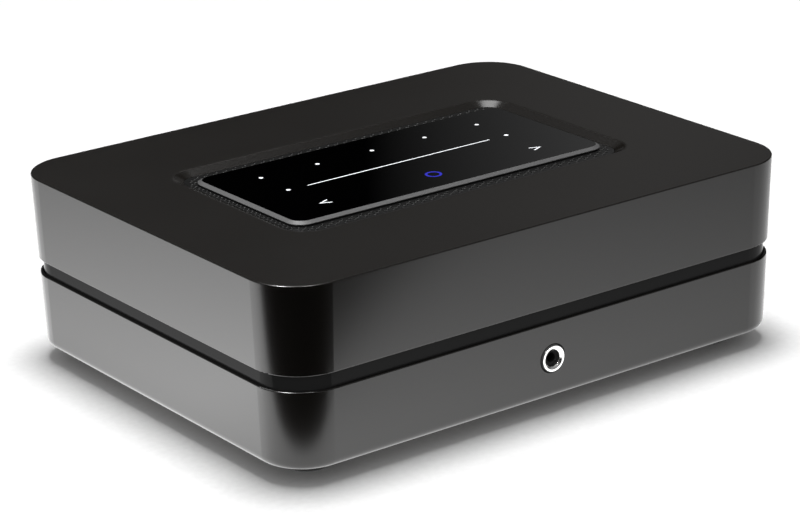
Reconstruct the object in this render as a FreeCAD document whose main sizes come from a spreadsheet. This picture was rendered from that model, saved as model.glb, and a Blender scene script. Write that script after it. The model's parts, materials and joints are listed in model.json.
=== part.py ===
import FreeCAD, Part
import math
import os
import re
import Sketcher

# Compact streaming amplifier: two dark shells on a recessed band, a touch panel
# in a vented recess, and sockets and screw-down speaker posts at the back.
# Millimetres. +X right and -Y towards the front, +Z up, floor at Z = 0. The
# origin is under the middle of the whole depth, speaker nuts included.

SIZES = {
    # Casing
    "case_width": 220.0,
    "case_depth": 170.0,
    "corner_radius": 19.0,
    "wall_draft": 1.85,
    "foot_height": 5.5,
    "lower_height": 27.9,
    "groove_height": 5.35,
    "upper_height": 31.25,
    "top_skin": 2.6,
    "floor_skin": 2.5,
    "cavity_inset": 4.8,
    "top_edge_round": 0.4,
    "skirt_round": 0.4,
    "lip_round": 0.4,
    "bottom_round": 3.0,
    # Band between the shells
    "band_inset": 2.45,
    "band_wall": 2.3,
    "band_shadow": 0.3,
    "band_seat": 3.0,
    "band_end_gap": 1.3,
    "fit_gap": 0.15,
    # Case screws and feet
    "screw_side_inset": 22.0,
    "boss_radius": 5.0,
    "boss_joint": 38.0,
    "thread_radius": 1.5,
    "thread_gap": 0.05,
    "clear_gap": 0.2,
    "case_head_radius": 2.8,
    "case_head_height": 2.4,
    "counterbore_radius": 3.5,
    "counterbore_depth": 3.5,
    "case_grip": 11.0,
    "thread_end": 1.0,
    "tool_reach": 1.0,
    "foot_radius": 9.0,
    "foot_round": 0.8,
    # Floor vents
    "vent_count": 9,
    "vent_pitch": 9.0,
    "vent_width": 3.0,
    "vent_length": 34.0,
    "vent_offset": 32.0,
    # Recess in the top and its vent grille
    "recess_width": 148.4,
    "recess_length": 84.2,
    "recess_radius": 10.7,
    "recess_depth": 1.8,
    "recess_run": 3.8,
    "recess_round": 2.5,
    "rim_wall": 2.4,
    "ledge_width": 2.9,
    "ledge_height": 2.0,
    "grille_sheet": 2.4,
    "grille_hole": 1.25,
    "grille_pitch": 2.34,
    "grille_margin": 0.65,
    # Touch panel
    "bezel_width": 135.9,
    "bezel_length": 64.7,
    "bezel_radius": 6.2,
    "bezel_height": 1.0,
    "bezel_edge": 0.15,
    "bezel_run": 1.4,
    "bezel_land": 0.15,
    "bezel_lip": 0.3,
    "bezel_lip_width": 1.4,
    "tray_inset": 0.8,
    "tray_sink": 1.4,
    "tray_height": 2.1,
    "tray_wall": 1.8,
    "tray_floor": 0.6,
    "touch_board_sheet": 0.8,
    "ring_place": 19.0,
    "ring_outer": 3.5,
    "ring_inner": 2.7,
    "led_side": 1.6,
    "led_height": 0.45,
    "dot_count": 5,
    "dot_pitch": 24.0,
    "dot_row": 17.2,
    "panel_screw_x": 58.0,
    "panel_screw_y": 24.0,
    "panel_thread": 0.9,
    "panel_head_radius": 1.8,
    "panel_head_height": 1.2,
    "ribbon_width": 12.0,
    "ribbon_sheet": 0.4,
    "ribbon_x": -8.0,
    "ribbon_y": -36.6,
    # Headphone socket in the front
    "jack_height": 20.2,
    "jack_bore": 1.8,
    "jack_bore_depth": 14.0,
    "jack_barrel": 3.0,
    "jack_barrel_reach": 2.4,
    "jack_ring_radius": 5.0,
    "jack_ring_length": 4.0,
    "jack_ring_chamfer": 1.0,
    "jack_hole_gap": 0.35,
    "jack_width": 12.0,
    "jack_length": 14.0,
    # Rear panel
    "window_margin": 25.0,
    "window_low": 12.0,
    "window_high": 58.0,
    "window_round": 3.0,
    "rear_sheet": 1.5,
    "rear_lap": 4.0,
    "rear_low_gap": 0.2,
    "rear_high": 62.0,
    "rear_screw_inset": 5.0,
    "rear_screw_low": 16.0,
    "rear_screw_high": 54.0,
    "rear_post_side": 7.0,
    "rear_post_deep": 8.5,
    "rear_post_low_top": 20.5,
    "rear_post_high_base": 49.5,
    "rear_head_radius": 2.8,
    "rear_head_height": 1.7,
    "rear_shank": 8.0,
    # Circuit boards
    "board_sheet": 1.6,
    "board_base": 12.6,
    "board_front_gap": 6.2,
    "board_rear_gap": 4.7,
    "power_board_left": 74.0,
    "power_board_right": 24.0,
    "main_board_left": 20.0,
    "main_board_right": 74.0,
    "board_screw_inset": 4.5,
    "board_rear_screw": 20.0,
    "standoff_radius": 3.2,
    "board_thread": 1.2,
    "board_thread_grip": 3.0,
    "board_head_radius": 2.5,
    "board_head_height": 1.8,
    "amp_board_base": 38.4,
    "amp_board_front": 12.0,
    "pillar_radius": 2.6,
    "pillar_inset": 9.0,
    "pillar_rear_inset": 27.0,
    # Mains inlet
    "inlet_set_in": 27.0,
    "inlet_flange_width": 25.0,
    "inlet_flange_height": 14.4,
    "inlet_flange_sheet": 2.0,
    "inlet_flange_round": 2.0,
    "inlet_body_width": 20.4,
    "inlet_body_height": 12.0,
    "inlet_body_depth": 19.0,
    "inlet_lobe": 4.4,
    "inlet_pin_spread": 4.3,
    "inlet_waist": 3.5,
    "inlet_cavity_depth": 14.0,
    "inlet_pin_radius": 1.2,
    "inlet_pin_length": 11.0,
    # Network socket
    "network_pitch": 20.0,
    "network_width": 16.0,
    "network_height": 13.5,
    "network_depth": 21.0,
    "network_mouth_width": 11.9,
    "network_mouth_height": 7.0,
    "network_mouth_low": 3.6,
    "network_mouth_depth": 14.0,
    "network_latch_width": 6.0,
    "network_latch_drop": 2.2,
    "contact_count": 8,
    "contact_pitch": 1.02,
    "contact_width": 0.5,
    "contact_drop": 0.9,
    "contact_length": 9.0,
    # Television audio socket
    "tv_pitch": 18.0,
    "tv_width": 15.4,
    "tv_height": 6.2,
    "tv_depth": 12.0,
    "tv_wall": 0.6,
    "tv_back": 1.0,
    "tv_corner": 1.7,
    "tv_tongue_width": 11.6,
    "tv_tongue_sheet": 1.3,
    "tv_tongue_length": 8.5,
    # Flat data socket
    "data_pitch": 16.0,
    "data_width": 14.4,
    "data_height": 7.2,
    "data_depth": 14.0,
    "data_wall": 0.6,
    "data_back": 1.0,
    "data_tongue_width": 11.4,
    "data_tongue_sheet": 1.9,
    "data_tongue_length": 9.5,
    "data_tongue_top_gap": 0.6,
    # Analogue input
    "input_pitch": 18.0,
    "input_width": 12.0,
    "input_depth": 13.0,
    "input_axis": 6.5,
    "input_barrel": 4.0,
    "input_reach": 0.8,
    # Subwoofer output
    "sub_set_in": 23.0,
    "sub_axis": 7.4,
    "sub_base_width": 11.5,
    "sub_base_height": 13.0,
    "sub_base_depth": 11.0,
    "sub_barrel": 4.15,
    "sub_barrel_wall": 0.7,
    "sub_flange": 5.6,
    "sub_flange_sheet": 1.0,
    "sub_reach": 9.5,
    "sub_core_set_back": 1.5,
    "sub_bore": 1.6,
    "sub_bore_depth": 8.0,
    # Speaker posts
    "post_count": 4,
    "post_set_in": 20.0,
    "post_pitch": 19.0,
    "post_height": 46.0,
    "post_overhang": 20.0,
    "post_radius": 3.0,
    "post_tip_set_back": 1.0,
    "post_inner_length": 13.0,
    "banana_bore": 2.02,
    "banana_depth": 16.5,
    "banana_flare": 0.5,
    "wire_hole": 1.3,
    "wire_hole_reach": 4.8,
    "collar_radius": 7.2,
    "collar_sheet": 3.0,
    "collar_round": 0.6,
    "collar_spigot": 4.0,
    "lock_nut_flats": 10.0,
    "lock_nut_height": 3.0,
    "washer_radius": 5.4,
    "washer_sheet": 1.0,
    "nut_radius": 6.2,
    "nut_flute": 0.75,
    "nut_flute_count": 14,
    "nut_chamfer": 0.7,
    "run_gap": 0.08,
    "face_gap": 0.05,
    "tail_width": 2.4,
    "tail_length": 4.0,
    "tail_place": 8.0,
    # Amplifier stage
    "chip_count": 4,
    "chip_side": 13.0,
    "chip_height": 3.4,
    "chip_pitch": 17.0,
    "amp_middle": 27.0,
    "chip_row": 12.0,
    "sink_width": 74.0,
    "sink_length": 34.0,
    "sink_base": 3.6,
    "sink_height": 17.0,
    "sink_fin": 1.5,
    "sink_fin_count": 12,
    "coil_side": 12.0,
    "coil_height": 9.0,
    "coil_round": 2.0,
    "coil_row": 40.0,
    # Power supply
    "core_x": -49.0,
    "core_gap": 0.9,
    "core_width": 32.0,
    "core_length": 26.0,
    "core_height": 24.0,
    "core_leg": 5.0,
    "winding_swell": 3.0,
    "winding_round": 1.5,
    "choke_x": -60.0,
    "choke_gap": 7.1,
    "choke_ring": 7.0,
    "choke_tube": 3.6,
    "film_x": -36.0,
    "film_set_back": 2.5,
    "film_width": 9.0,
    "film_length": 24.0,
    "film_height": 16.0,
    "bulk_radius": 9.0,
    "can_round": 0.8,
    "bulk_height": 34.0,
    "bulk_row": -34.0,
    "bulk_pitch": 24.0,
    "fuse_x": -70.0,
    "fuse_y": -6.0,
    "fuse_radius": 2.6,
    "fuse_length": 20.0,
    "fuse_cap": 5.0,
    "fuse_rise": 1.0,
    "fuse_clip_wall": 0.5,
    # Main board parts
    "shield_x": 20.0,
    "shield_y": -52.0,
    "shield_side": 30.0,
    "shield_height": 4.0,
    "shield_round": 1.0,
    "radio_x": 56.0,
    "radio_y": -58.0,
    "radio_width": 22.0,
    "radio_length": 18.0,
    "radio_height": 2.6,
    "antenna_sheet": 0.8,
    "antenna_length": 34.0,
    "antenna_height": 9.0,
    "antenna_low": 50.0,
    "antenna_y": -30.0,
    "header_width": 16.0,
    "header_length": 5.0,
    "header_height": 5.0,
    "lead_radius": 0.9,
    "lead_pitch": 4.0,
    "lead_count": 3,
    "lead_y": -2.0,
    "lead_left": -28.0,
    "lead_right": -15.0,
    "lead_top": 52.0,
    "lead_bend": 6.0,
}

# Places that follow from the sizes, each a formula in the words above.
PLACES = {
    "middle": "-post_overhang / 2",
    "lower_bottom": "foot_height",
    "lower_top": "foot_height + lower_height",
    "upper_bottom": "lower_top + groove_height",
    "case_top": "upper_bottom + upper_height",
    "ceiling": "case_top - top_skin",
    "floor_top": "lower_bottom + floor_skin",
    "cavity_width": "case_width - 2 * cavity_inset",
    "cavity_depth": "case_depth - 2 * cavity_inset",
    "cavity_radius": "corner_radius - cavity_inset",
    "band_bottom": "lower_top - band_seat",
    "band_top": "upper_bottom + band_seat",
    "boss_x": "case_width / 2 - screw_side_inset",
    "boss_y": "case_depth / 2 - screw_side_inset",
    "head_seat": "lower_bottom + counterbore_depth",
    "front_inner": "middle - case_depth / 2 + cavity_inset",
    "rear_face": "middle + case_depth / 2 - cavity_inset",
    "rear_back": "rear_face - rear_sheet",
    "board_front": "-front_inner - board_front_gap",
    "board_rear": "rear_back - board_rear_gap",
    "choke_y": "rear_face - inlet_body_depth - choke_gap - choke_ring - choke_tube",
    "core_y": "choke_y - choke_ring - choke_tube - core_gap - winding_swell - core_length / 2",
    "film_y": "choke_y + film_set_back",
    "window_side": "case_width / 2 - window_margin",
    "window_width": "2 * window_side",
    "rear_width": "window_width + 2 * rear_lap",
    "rear_screw_x": "window_side - rear_screw_inset",
    "recess_floor": "case_top - recess_depth",
    "seat_width": "recess_width - 2 * recess_run",
    "seat_length": "recess_length - 2 * recess_run",
    "seat_radius": "recess_radius - recess_run",
    "grille_bottom": "recess_floor - grille_sheet",
    "rim_bottom": "grille_bottom - ledge_height",
    "tray_base": "recess_floor - tray_sink",
    "tray_width": "bezel_width - 2 * tray_inset",
    "tray_length": "bezel_length - 2 * tray_inset",
    "tray_radius": "bezel_radius - tray_inset",
    "tray_top": "tray_base + tray_height",
    "bezel_top": "tray_top + bezel_height",
    "glass_inset": "bezel_run + bezel_land",
    "glass_bottom": "tray_top + bezel_lip",
    "touch_board_base": "tray_base + tray_floor",
    "touch_board_top": "touch_board_base + touch_board_sheet",
    "board_top": "board_base + board_sheet",
    "amp_board_top": "amp_board_base + board_sheet",
    "inlet_x": "-(window_side - inlet_set_in)",
    "inlet_height": "board_top + inlet_flange_height / 2",
    "sub_x": "window_side - sub_set_in",
    "input_x": "sub_x - input_pitch",
    "data_x": "input_x - data_pitch",
    "tv_x": "data_x - tv_pitch",
    "network_x": "tv_x - network_pitch",
    "post_first_x": "window_side - post_set_in - (post_count - 1) * post_pitch",
    "post_reach": "middle + case_depth / 2 + post_overhang",
    "post_tip": "post_reach - post_tip_set_back",
    "collar_face": "rear_face + collar_sheet",
    "washer_face": "collar_face + face_gap + washer_sheet",
    "chip_top": "amp_board_top + chip_height",
}

doc = FreeCAD.newDocument("streaming_amplifier")
sheet = doc.addObject("Spreadsheet::Sheet", "Sizes")
for row, (word, number) in enumerate(SIZES.items(), start=1):
    sheet.set(f"A{row}", word)
    sheet.set(f"B{row}", str(number))
    sheet.setAlias(f"B{row}", word)
doc.recompute()

nodes = {}


def formula(text):
    """Spell a formula out in words of the sheet."""
    def spell(match):
        word = match.group(0)
        if word in PLACES:
            return "(" + formula(PLACES[word]) + ")"
        return "Sizes." + word if word in SIZES else word
    return re.sub(r"[A-Za-z_]\w*", spell, str(text))


def value(text):
    """The number that a formula gives now."""
    result = sheet.evalExpression(formula(text))
    return float(getattr(result, "Value", result))


def bind(item, **formulas):
    """Bind properties to formulas; base_x, base_y and base_z are the place."""
    for name, text in formulas.items():
        if name.startswith("base_"):
            name = ".Placement.Base." + name[-1]
        item.setExpression(name, formula(text))


def keep(name, item):
    """Hand in an object as the node of that name."""
    item.Label = name
    nodes[name] = item
    return item


# Part primitives, bound to the sheet

TURNS = {
    "z": FreeCAD.Rotation(),
    "y": FreeCAD.Rotation(FreeCAD.Vector(1, 0, 0), -90),
    "x": FreeCAD.Rotation(FreeCAD.Vector(0, 1, 0), 90),
}


def block(name, width, length, height, x, y, z):
    """A box centred on x and y, standing on z."""
    item = doc.addObject("Part::Box", name)
    bind(item, Length=width, Width=length, Height=height)
    bind(item, base_x=f"({x}) - ({width}) / 2", base_y=f"({y}) - ({length}) / 2", base_z=z)
    return item


def rod(name, radius, length, x, y, z, along="z"):
    """A cylinder that starts at the point and runs along an axis."""
    item = doc.addObject("Part::Cylinder", name)
    item.Placement = FreeCAD.Placement(FreeCAD.Vector(), TURNS[along])
    bind(item, Radius=radius, Height=length, base_x=x, base_y=y, base_z=z)
    return item


def cone(name, start_radius, end_radius, length, x, y, z, along="z"):
    item = doc.addObject("Part::Cone", name)
    item.Placement = FreeCAD.Placement(FreeCAD.Vector(), TURNS[along])
    bind(item, Radius1=start_radius, Radius2=end_radius, Height=length)
    bind(item, base_x=x, base_y=y, base_z=z)
    return item


def fuse(name, *items):
    item = doc.addObject("Part::MultiFuse", name)
    item.Shapes = list(items)
    return item


def cut(name, base, *tools):
    item = doc.addObject("Part::Cut", name)
    item.Base = base
    item.Tool = tools[0] if len(tools) == 1 else fuse(name + "_tools", *tools)
    return item


def group(name, items):
    """Separate solids that share one node."""
    item = doc.addObject("Part::Compound", name)
    item.Links = list(items)
    return item


def corners(x, y):
    """Four places, mirrored about the middle of the casing."""
    return [(f"{sx}({x})", f"middle {sy} ({y})") for sx in ("-", "") for sy in "-+"]


def rounded(name, base, radius, wanted):
    """Round the edges of a plain piece that a test picks."""
    doc.recompute()
    item = doc.addObject("Part::Fillet", name)
    item.Base = base
    size = value(radius)
    chosen = [i for i, edge in enumerate(base.Shape.Edges, start=1) if wanted(edge)]
    item.Edges = [(i, size, size) for i in chosen]
    return item


def upright(edge):
    return edge.BoundBox.XLength + edge.BoundBox.YLength < 1e-6


# Sketched features, bound to the sheet

def new_body(name):
    body = doc.addObject("PartDesign::Body", name)
    bind(body, base_y="middle")
    return body


def sketch_on(body, name, plane, level):
    """A sketch on an origin plane of the body, lifted to a level."""
    sketch = body.newObject("Sketcher::SketchObject", name)
    support = [item for item in body.Origin.OriginFeatures if item.Role == plane][0]
    sketch.AttachmentSupport = [(support, "")]
    sketch.MapMode = "FlatFace"
    sketch.setExpression(".AttachmentOffset.Base.z", formula(level))
    return sketch


def dimension(sketch, kind, arguments, text):
    """A driving dimension of a sketch, bound to a formula."""
    index = sketch.addConstraint(Sketcher.Constraint(kind, *arguments, value(text)))
    sketch.setExpression(f"Constraints[{index}]", formula(text))


def draw_outline(sketch, width, length, radius, x="0", y="0"):
    """A rectangle with round corners, centred on x and y."""
    a, b, r = value(width) / 2, value(length) / 2, value(radius)
    cx, cy = value(x), value(y)
    first = sketch.GeometryCount
    up = FreeCAD.Vector(0, 0, 1)
    sides = [((-a + r, -b), (a - r, -b)), ((a, -b + r), (a, b - r)),
             ((a - r, b), (-a + r, b)), ((-a, b - r), (-a, -b + r))]
    middles = [(a - r, -b + r), (a - r, b - r), (-a + r, b - r), (-a + r, -b + r)]
    for turn, (side, middle) in enumerate(zip(sides, middles)):
        start, end = [FreeCAD.Vector(cx + px, cy + py, 0) for px, py in side]
        sketch.addGeometry(Part.LineSegment(start, end), False)
        circle = Part.Circle(FreeCAD.Vector(cx + middle[0], cy + middle[1], 0), up, r)
        sweep = (math.pi / 2 * (turn - 1), math.pi / 2 * turn)
        sketch.addGeometry(Part.ArcOfCircle(circle, *sweep), False)
    for k in range(8):
        sketch.addConstraint(Sketcher.Constraint(
            "Tangent", first + k, 2, first + (k + 1) % 8, 1))
    for k, kind in ((0, "Horizontal"), (2, "Vertical"), (4, "Horizontal"), (6, "Vertical")):
        sketch.addConstraint(Sketcher.Constraint(kind, first + k))
    for k in (3, 5, 7):
        sketch.addConstraint(Sketcher.Constraint("Equal", first + 1, first + k))
    dimension(sketch, "Radius", (first + 1,), radius)
    dimension(sketch, "DistanceX", (-1, 1, first + 2, 1), f"({x}) + ({width}) / 2")
    dimension(sketch, "DistanceX", (-1, 1, first + 6, 1), f"({x}) - ({width}) / 2")
    dimension(sketch, "DistanceY", (-1, 1, first + 4, 1), f"({y}) + ({length}) / 2")
    dimension(sketch, "DistanceY", (-1, 1, first, 1), f"({y}) - ({length}) / 2")


def draw_circles(sketch, radius, places):
    for x, y in places:
        centre = FreeCAD.Vector(value(x), value(y), 0)
        circle = Part.Circle(centre, FreeCAD.Vector(0, 0, 1), value(radius))
        index = sketch.addGeometry(circle, False)
        dimension(sketch, "Radius", (index,), radius)
        dimension(sketch, "DistanceX", (-1, 1, index, 3), x)
        dimension(sketch, "DistanceY", (-1, 1, index, 3), y)


def feature(body, kind, name, sketch, length, reverse=False, taper=None):
    """A pad or a pocket, checked for having added or taken material."""
    before = body.Shape.Volume if body.Tip else 0.0
    item = body.newObject("PartDesign::" + kind, name)
    item.Profile = sketch
    item.Reversed = reverse
    item.setExpression("Length", formula(length))
    if taper:
        item.setExpression("TaperAngle", formula(taper))
    sketch.Visibility = False
    doc.recompute()
    change = body.Shape.Volume - before
    if not (change > 0 if kind == "Pad" else change < 0):
        raise ValueError(f"{name} changed the volume by {change:.3f}")
    return item


def pad(body, name, sketch, length, **options):
    return feature(body, "Pad", name, sketch, length, **options)


def pocket(body, name, sketch, length, **options):
    return feature(body, "Pocket", name, sketch, length, **options)


def outline_sketch(body, name, level, width, length, radius):
    sketch = sketch_on(body, name, "XY_Plane", level)
    draw_outline(sketch, width, length, radius)
    return sketch


def rim_edges(shape, level, inside=None, outside=None):
    """Names of the edges at one height, by how far out from the middle they lie."""
    names = []
    for i, edge in enumerate(shape.Edges, start=1):
        box = edge.BoundBox
        if abs(box.ZMin - level) > 1e-4 or abs(box.ZMax - level) > 1e-4:
            continue
        reach = max(abs(box.XMin), abs(box.XMax))
        deep = max(abs(box.YMin), abs(box.YMax))
        if inside and (reach > inside[0] or deep > inside[1]):
            continue
        if outside and reach < outside[0] and deep < outside[1]:
            continue
        names.append(f"Edge{i}")
    return names


def round_edges(body, name, names, radius):
    base = body.Tip
    item = body.newObject("PartDesign::Fillet", name)
    item.Base = (base, names)
    item.setExpression("Radius", formula(radius))
    doc.recompute()
    return item


CASE_BOSSES = [(f"{sx}boss_x", f"{sy}boss_y") for sx in ("-", "") for sy in ("-", "")]
REAR_SIDES = ("-rear_screw_x", "rear_screw_x")
BAY_LEVEL = "-(case_depth / 2 - cavity_inset - 0.5 * rear_sheet)"


def open_rear_window(body, name):
    """The opening in the back wall that the rear panel fills."""
    sketch = sketch_on(body, name + "_outline", "XZ_Plane", BAY_LEVEL)
    draw_outline(sketch, "window_width", "window_high - window_low", "window_round",
                 y="(window_high + window_low) / 2")
    pocket(body, name, sketch, "cavity_inset + rear_sheet")


def add_rear_posts(body, name, level, length, screw_height):
    """Two square posts behind the rear panel, each with a screw hole."""
    sketch = sketch_on(body, name + "_outline", "XY_Plane", level)
    for x in REAR_SIDES:
        draw_outline(sketch, "rear_post_side", "rear_post_deep", "lip_round", x,
                     "cavity_depth / 2 - rear_sheet - rear_post_deep / 2")
    pad(body, name, sketch, length)
    holes = sketch_on(body, name + "_holes", "XZ_Plane", "-(cavity_depth / 2 - rear_sheet)")
    draw_circles(holes, "thread_radius + thread_gap", [(x, screw_height) for x in REAR_SIDES])
    pocket(body, name + "_screw_holes", holes, "rear_shank - rear_sheet + thread_end", reverse=True)


def make_upper_housing():
    body = new_body("upper_housing_body")
    outline = outline_sketch(body, "upper_outline", "case_top", "case_width", "case_depth",
                             "corner_radius")
    pad(body, "upper_block", outline, "upper_height", reverse=True, taper="-wall_draft")
    cavity = outline_sketch(body, "upper_cavity_outline", "upper_bottom", "cavity_width",
                            "cavity_depth", "cavity_radius")
    pocket(body, "upper_cavity", cavity, "ceiling - upper_bottom", reverse=True)
    open_rear_window(body, "upper_window")
    seat = outline_sketch(body, "upper_band_outline", "upper_bottom",
                          "case_width - 2 * (band_inset - fit_gap)",
                          "case_depth - 2 * (band_inset - fit_gap)",
                          "corner_radius - band_inset + fit_gap")
    pocket(body, "upper_band_seat", seat, "band_seat", reverse=True)
    rim = outline_sketch(body, "rim_outline", "rim_bottom", "seat_width + 2 * rim_wall",
                         "seat_length + 2 * rim_wall", "seat_radius + rim_wall")
    pad(body, "recess_rim", rim, "ceiling - rim_bottom")
    recess = outline_sketch(body, "recess_outline", "case_top", "recess_width",
                            "recess_length", "recess_radius")
    pocket(body, "recess_slope", recess, "recess_depth",
           taper="-atan(recess_run / recess_depth)")
    ledge = outline_sketch(body, "ledge_outline", "recess_floor", "seat_width",
                           "seat_length", "seat_radius")
    pocket(body, "grille_seat", ledge, "grille_sheet")
    window = outline_sketch(body, "vent_outline", "grille_bottom",
                            "seat_width - 2 * ledge_width", "seat_length - 2 * ledge_width",
                            "seat_radius - ledge_width")
    pocket(body, "vent_window", window, "ledge_height")
    bosses = sketch_on(body, "upper_boss_circles", "XY_Plane", "boss_joint")
    draw_circles(bosses, "boss_radius", CASE_BOSSES)
    pad(body, "upper_bosses", bosses, "ceiling - boss_joint")
    threads = sketch_on(body, "upper_thread_circles", "XY_Plane", "boss_joint")
    draw_circles(threads, "thread_radius + thread_gap", CASE_BOSSES)
    pocket(body, "upper_threads", threads, "case_grip + thread_end", reverse=True)
    add_rear_posts(body, "upper_posts", "rear_post_high_base",
                   "ceiling - rear_post_high_base", "rear_screw_high")
    reach = (value("recess_width / 2 + 5"), value("recess_length / 2 + 5"))
    names = rim_edges(body.Tip.Shape, value("case_top"), outside=reach)
    round_edges(body, "top_edge", names, "top_edge_round")
    names = rim_edges(body.Tip.Shape, value("case_top"), inside=reach)
    round_edges(body, "recess_edge", names, "recess_round")
    skirt = (value("case_width / 2 - band_inset + 1"), value("case_depth / 2 - band_inset + 1"))
    names = rim_edges(body.Tip.Shape, value("upper_bottom"), outside=skirt)
    round_edges(body, "skirt_edge", names, "skirt_round")
    keep("upper_housing", body)


def make_centre_band():
    body = new_body("centre_band_body")
    outer = outline_sketch(body, "band_outer_outline", "band_bottom",
                           "case_width - 2 * band_inset", "case_depth - 2 * band_inset",
                           "corner_radius - band_inset")
    pad(body, "band_block", outer, "band_top - band_bottom - fit_gap")
    inset = "(band_inset + band_wall)"
    inner = outline_sketch(body, "band_inner_outline", "band_bottom",
                           f"case_width - 2 * {inset}", f"case_depth - 2 * {inset}",
                           f"corner_radius - {inset}")
    pocket(body, "band_hollow", inner, "band_top - band_bottom", reverse=True)
    rear = sketch_on(body, "band_rear_outline", "XY_Plane", "band_bottom")
    draw_outline(rear, "rear_width + 2 * band_end_gap", "4 * band_wall", "lip_round",
                 y=f"case_depth / 2 - {inset} + band_wall / 2")
    pocket(body, "band_rear_gap", rear, "band_top - band_bottom", reverse=True)
    keep("centre_band", body)


def make_lower_housing():
    body = new_body("lower_housing_body")
    shrink = "(case_top - lower_top) * tan(wall_draft)"
    outline = outline_sketch(body, "lower_outline", "lower_top", f"case_width - 2 * {shrink}",
                             f"case_depth - 2 * {shrink}", f"corner_radius - {shrink}")
    pad(body, "lower_block", outline, "lower_height", reverse=True, taper="-wall_draft")
    names = rim_edges(body.Tip.Shape, value("lower_bottom"))
    round_edges(body, "bottom_edge", names, "bottom_round")
    names = rim_edges(body.Tip.Shape, value("lower_top"))
    round_edges(body, "lip_edge", names, "lip_round")
    cavity = outline_sketch(body, "lower_cavity_outline", "lower_top", "cavity_width",
                            "cavity_depth", "cavity_radius")
    pocket(body, "lower_cavity", cavity, "lower_height - floor_skin")
    open_rear_window(body, "lower_window")
    seat = outline_sketch(body, "lower_band_outline", "lower_top",
                          "case_width - 2 * (band_inset - band_shadow)",
                          "case_depth - 2 * (band_inset - band_shadow)",
                          "corner_radius - band_inset + band_shadow")
    pocket(body, "lower_band_seat", seat, "band_seat")
    bosses = sketch_on(body, "lower_boss_circles", "XY_Plane", "floor_top")
    draw_circles(bosses, "boss_radius", CASE_BOSSES)
    pad(body, "lower_bosses", bosses, "boss_joint - floor_top")
    holes = sketch_on(body, "lower_screw_circles", "XY_Plane", "lower_bottom")
    draw_circles(holes, "thread_radius + clear_gap", CASE_BOSSES)
    pocket(body, "lower_screw_holes", holes, "boss_joint - lower_bottom", reverse=True)
    heads = sketch_on(body, "lower_head_circles", "XY_Plane", "lower_bottom")
    draw_circles(heads, "counterbore_radius", CASE_BOSSES)
    pocket(body, "lower_head_holes", heads, "counterbore_depth", reverse=True)
    add_rear_posts(body, "lower_posts", "floor_top", "rear_post_low_top - floor_top",
                   "rear_screw_low")
    standoffs = sketch_on(body, "standoff_circles", "XY_Plane", "floor_top")
    places = [(x, f"({y}) - (middle)") for x, y in board_screw_places()]
    draw_circles(standoffs, "standoff_radius", places)
    pad(body, "standoffs", standoffs, "board_base - floor_top")
    pilots = sketch_on(body, "pilot_circles", "XY_Plane", "floor_top")
    draw_circles(pilots, "board_thread + thread_gap", places)
    pocket(body, "pilots", pilots, "board_base - floor_top", reverse=True)
    socket = sketch_on(body, "socket_circle", "XZ_Plane", "cavity_depth / 2 - tool_reach")
    index = socket.addGeometry(Part.Circle(FreeCAD.Vector(0, value("jack_height"), 0),
                                           FreeCAD.Vector(0, 0, 1), 1), False)
    socket.addConstraint(Sketcher.Constraint("PointOnObject", index, 3, -2))
    dimension(socket, "DistanceY", (-1, 1, index, 3), "jack_height")
    dimension(socket, "Radius", (index,), "jack_ring_radius + jack_hole_gap")
    pocket(body, "socket_hole", socket, "cavity_inset + 2 * tool_reach", reverse=True)
    for side in ("-", ""):
        name = "left_vents" if side else "right_vents"
        slot = sketch_on(body, name + "_outline", "XY_Plane", "lower_bottom")
        draw_outline(slot, "vent_width", "vent_length", "0.48 * vent_width",
                     "-(vent_count - 1) * vent_pitch / 2", f"{side}vent_offset")
        first = pocket(body, name, slot, "floor_skin", reverse=True)
        row = body.newObject("PartDesign::LinearPattern", name + "_row")
        row.Originals = [first]
        row.Direction = (slot, ["H_Axis"])
        row.setExpression("Length", formula("(vent_count - 1) * vent_pitch"))
        row.setExpression("Occurrences", formula("vent_count"))
        body.Tip = row
        doc.recompute()
    keep("lower_housing", body)


def board_screw_places():
    """Where the two lower boards are screwed down."""
    left_x = ("-power_board_left + board_screw_inset", "-power_board_right - board_screw_inset")
    right_x = ("-main_board_left + board_screw_inset", "main_board_right - board_screw_inset")
    rows = ("-board_front + board_screw_inset", "board_rear - board_rear_screw")
    return [(x, y) for x in left_x + right_x for y in rows]


def make_feet_and_screws():
    feet = []
    screws = []
    for k, (x, y) in enumerate(corners("boss_x", "boss_y")):
        foot = rod(f"foot_{k}", "foot_radius", "foot_height", x, y, 0)
        bottom = (lambda edge: edge.BoundBox.ZMax < 1e-6)
        feet.append(rounded(f"foot_{k}_round", foot, "foot_round", bottom))
        head = rod(f"case_head_{k}", "case_head_radius", "case_head_height", x, y,
                   "head_seat - case_head_height")
        shank = rod(f"case_shank_{k}", "thread_radius", "boss_joint + case_grip - head_seat",
                    x, y, "head_seat")
        hollow = rod(f"case_drive_{k}", "case_head_radius / 2", "case_head_height / 2", x, y,
                     "head_seat - case_head_height")
        screws.append(cut(f"case_screw_{k}", fuse(f"case_bolt_{k}", head, shank), hollow))
    keep("rubber_feet", group("feet_group", feet))
    keep("case_screws", group("case_screw_group", screws))


def inside_outline(x, y, width, length, radius):
    """Whether a point lies in a rectangle with round corners."""
    dx = max(abs(x) - (width / 2 - radius), 0.0)
    dy = max(abs(y) - (length / 2 - radius), 0.0)
    return abs(x) <= width / 2 and abs(y) <= length / 2 and math.hypot(dx, dy) <= radius


def outline_wire(width, length, radius, z):
    """A closed rounded rectangle at a height, centred on the casing."""
    box = Part.makeBox(width, length, 1, FreeCAD.Vector(-width / 2, -length / 2, z))
    sides = [edge for edge in box.Edges if edge.BoundBox.ZLength > 0.5]
    solid = box.makeFillet(radius, sides)
    bottom = min(solid.Faces, key=lambda face: face.CenterOfMass.z)
    return bottom.OuterWire


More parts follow.
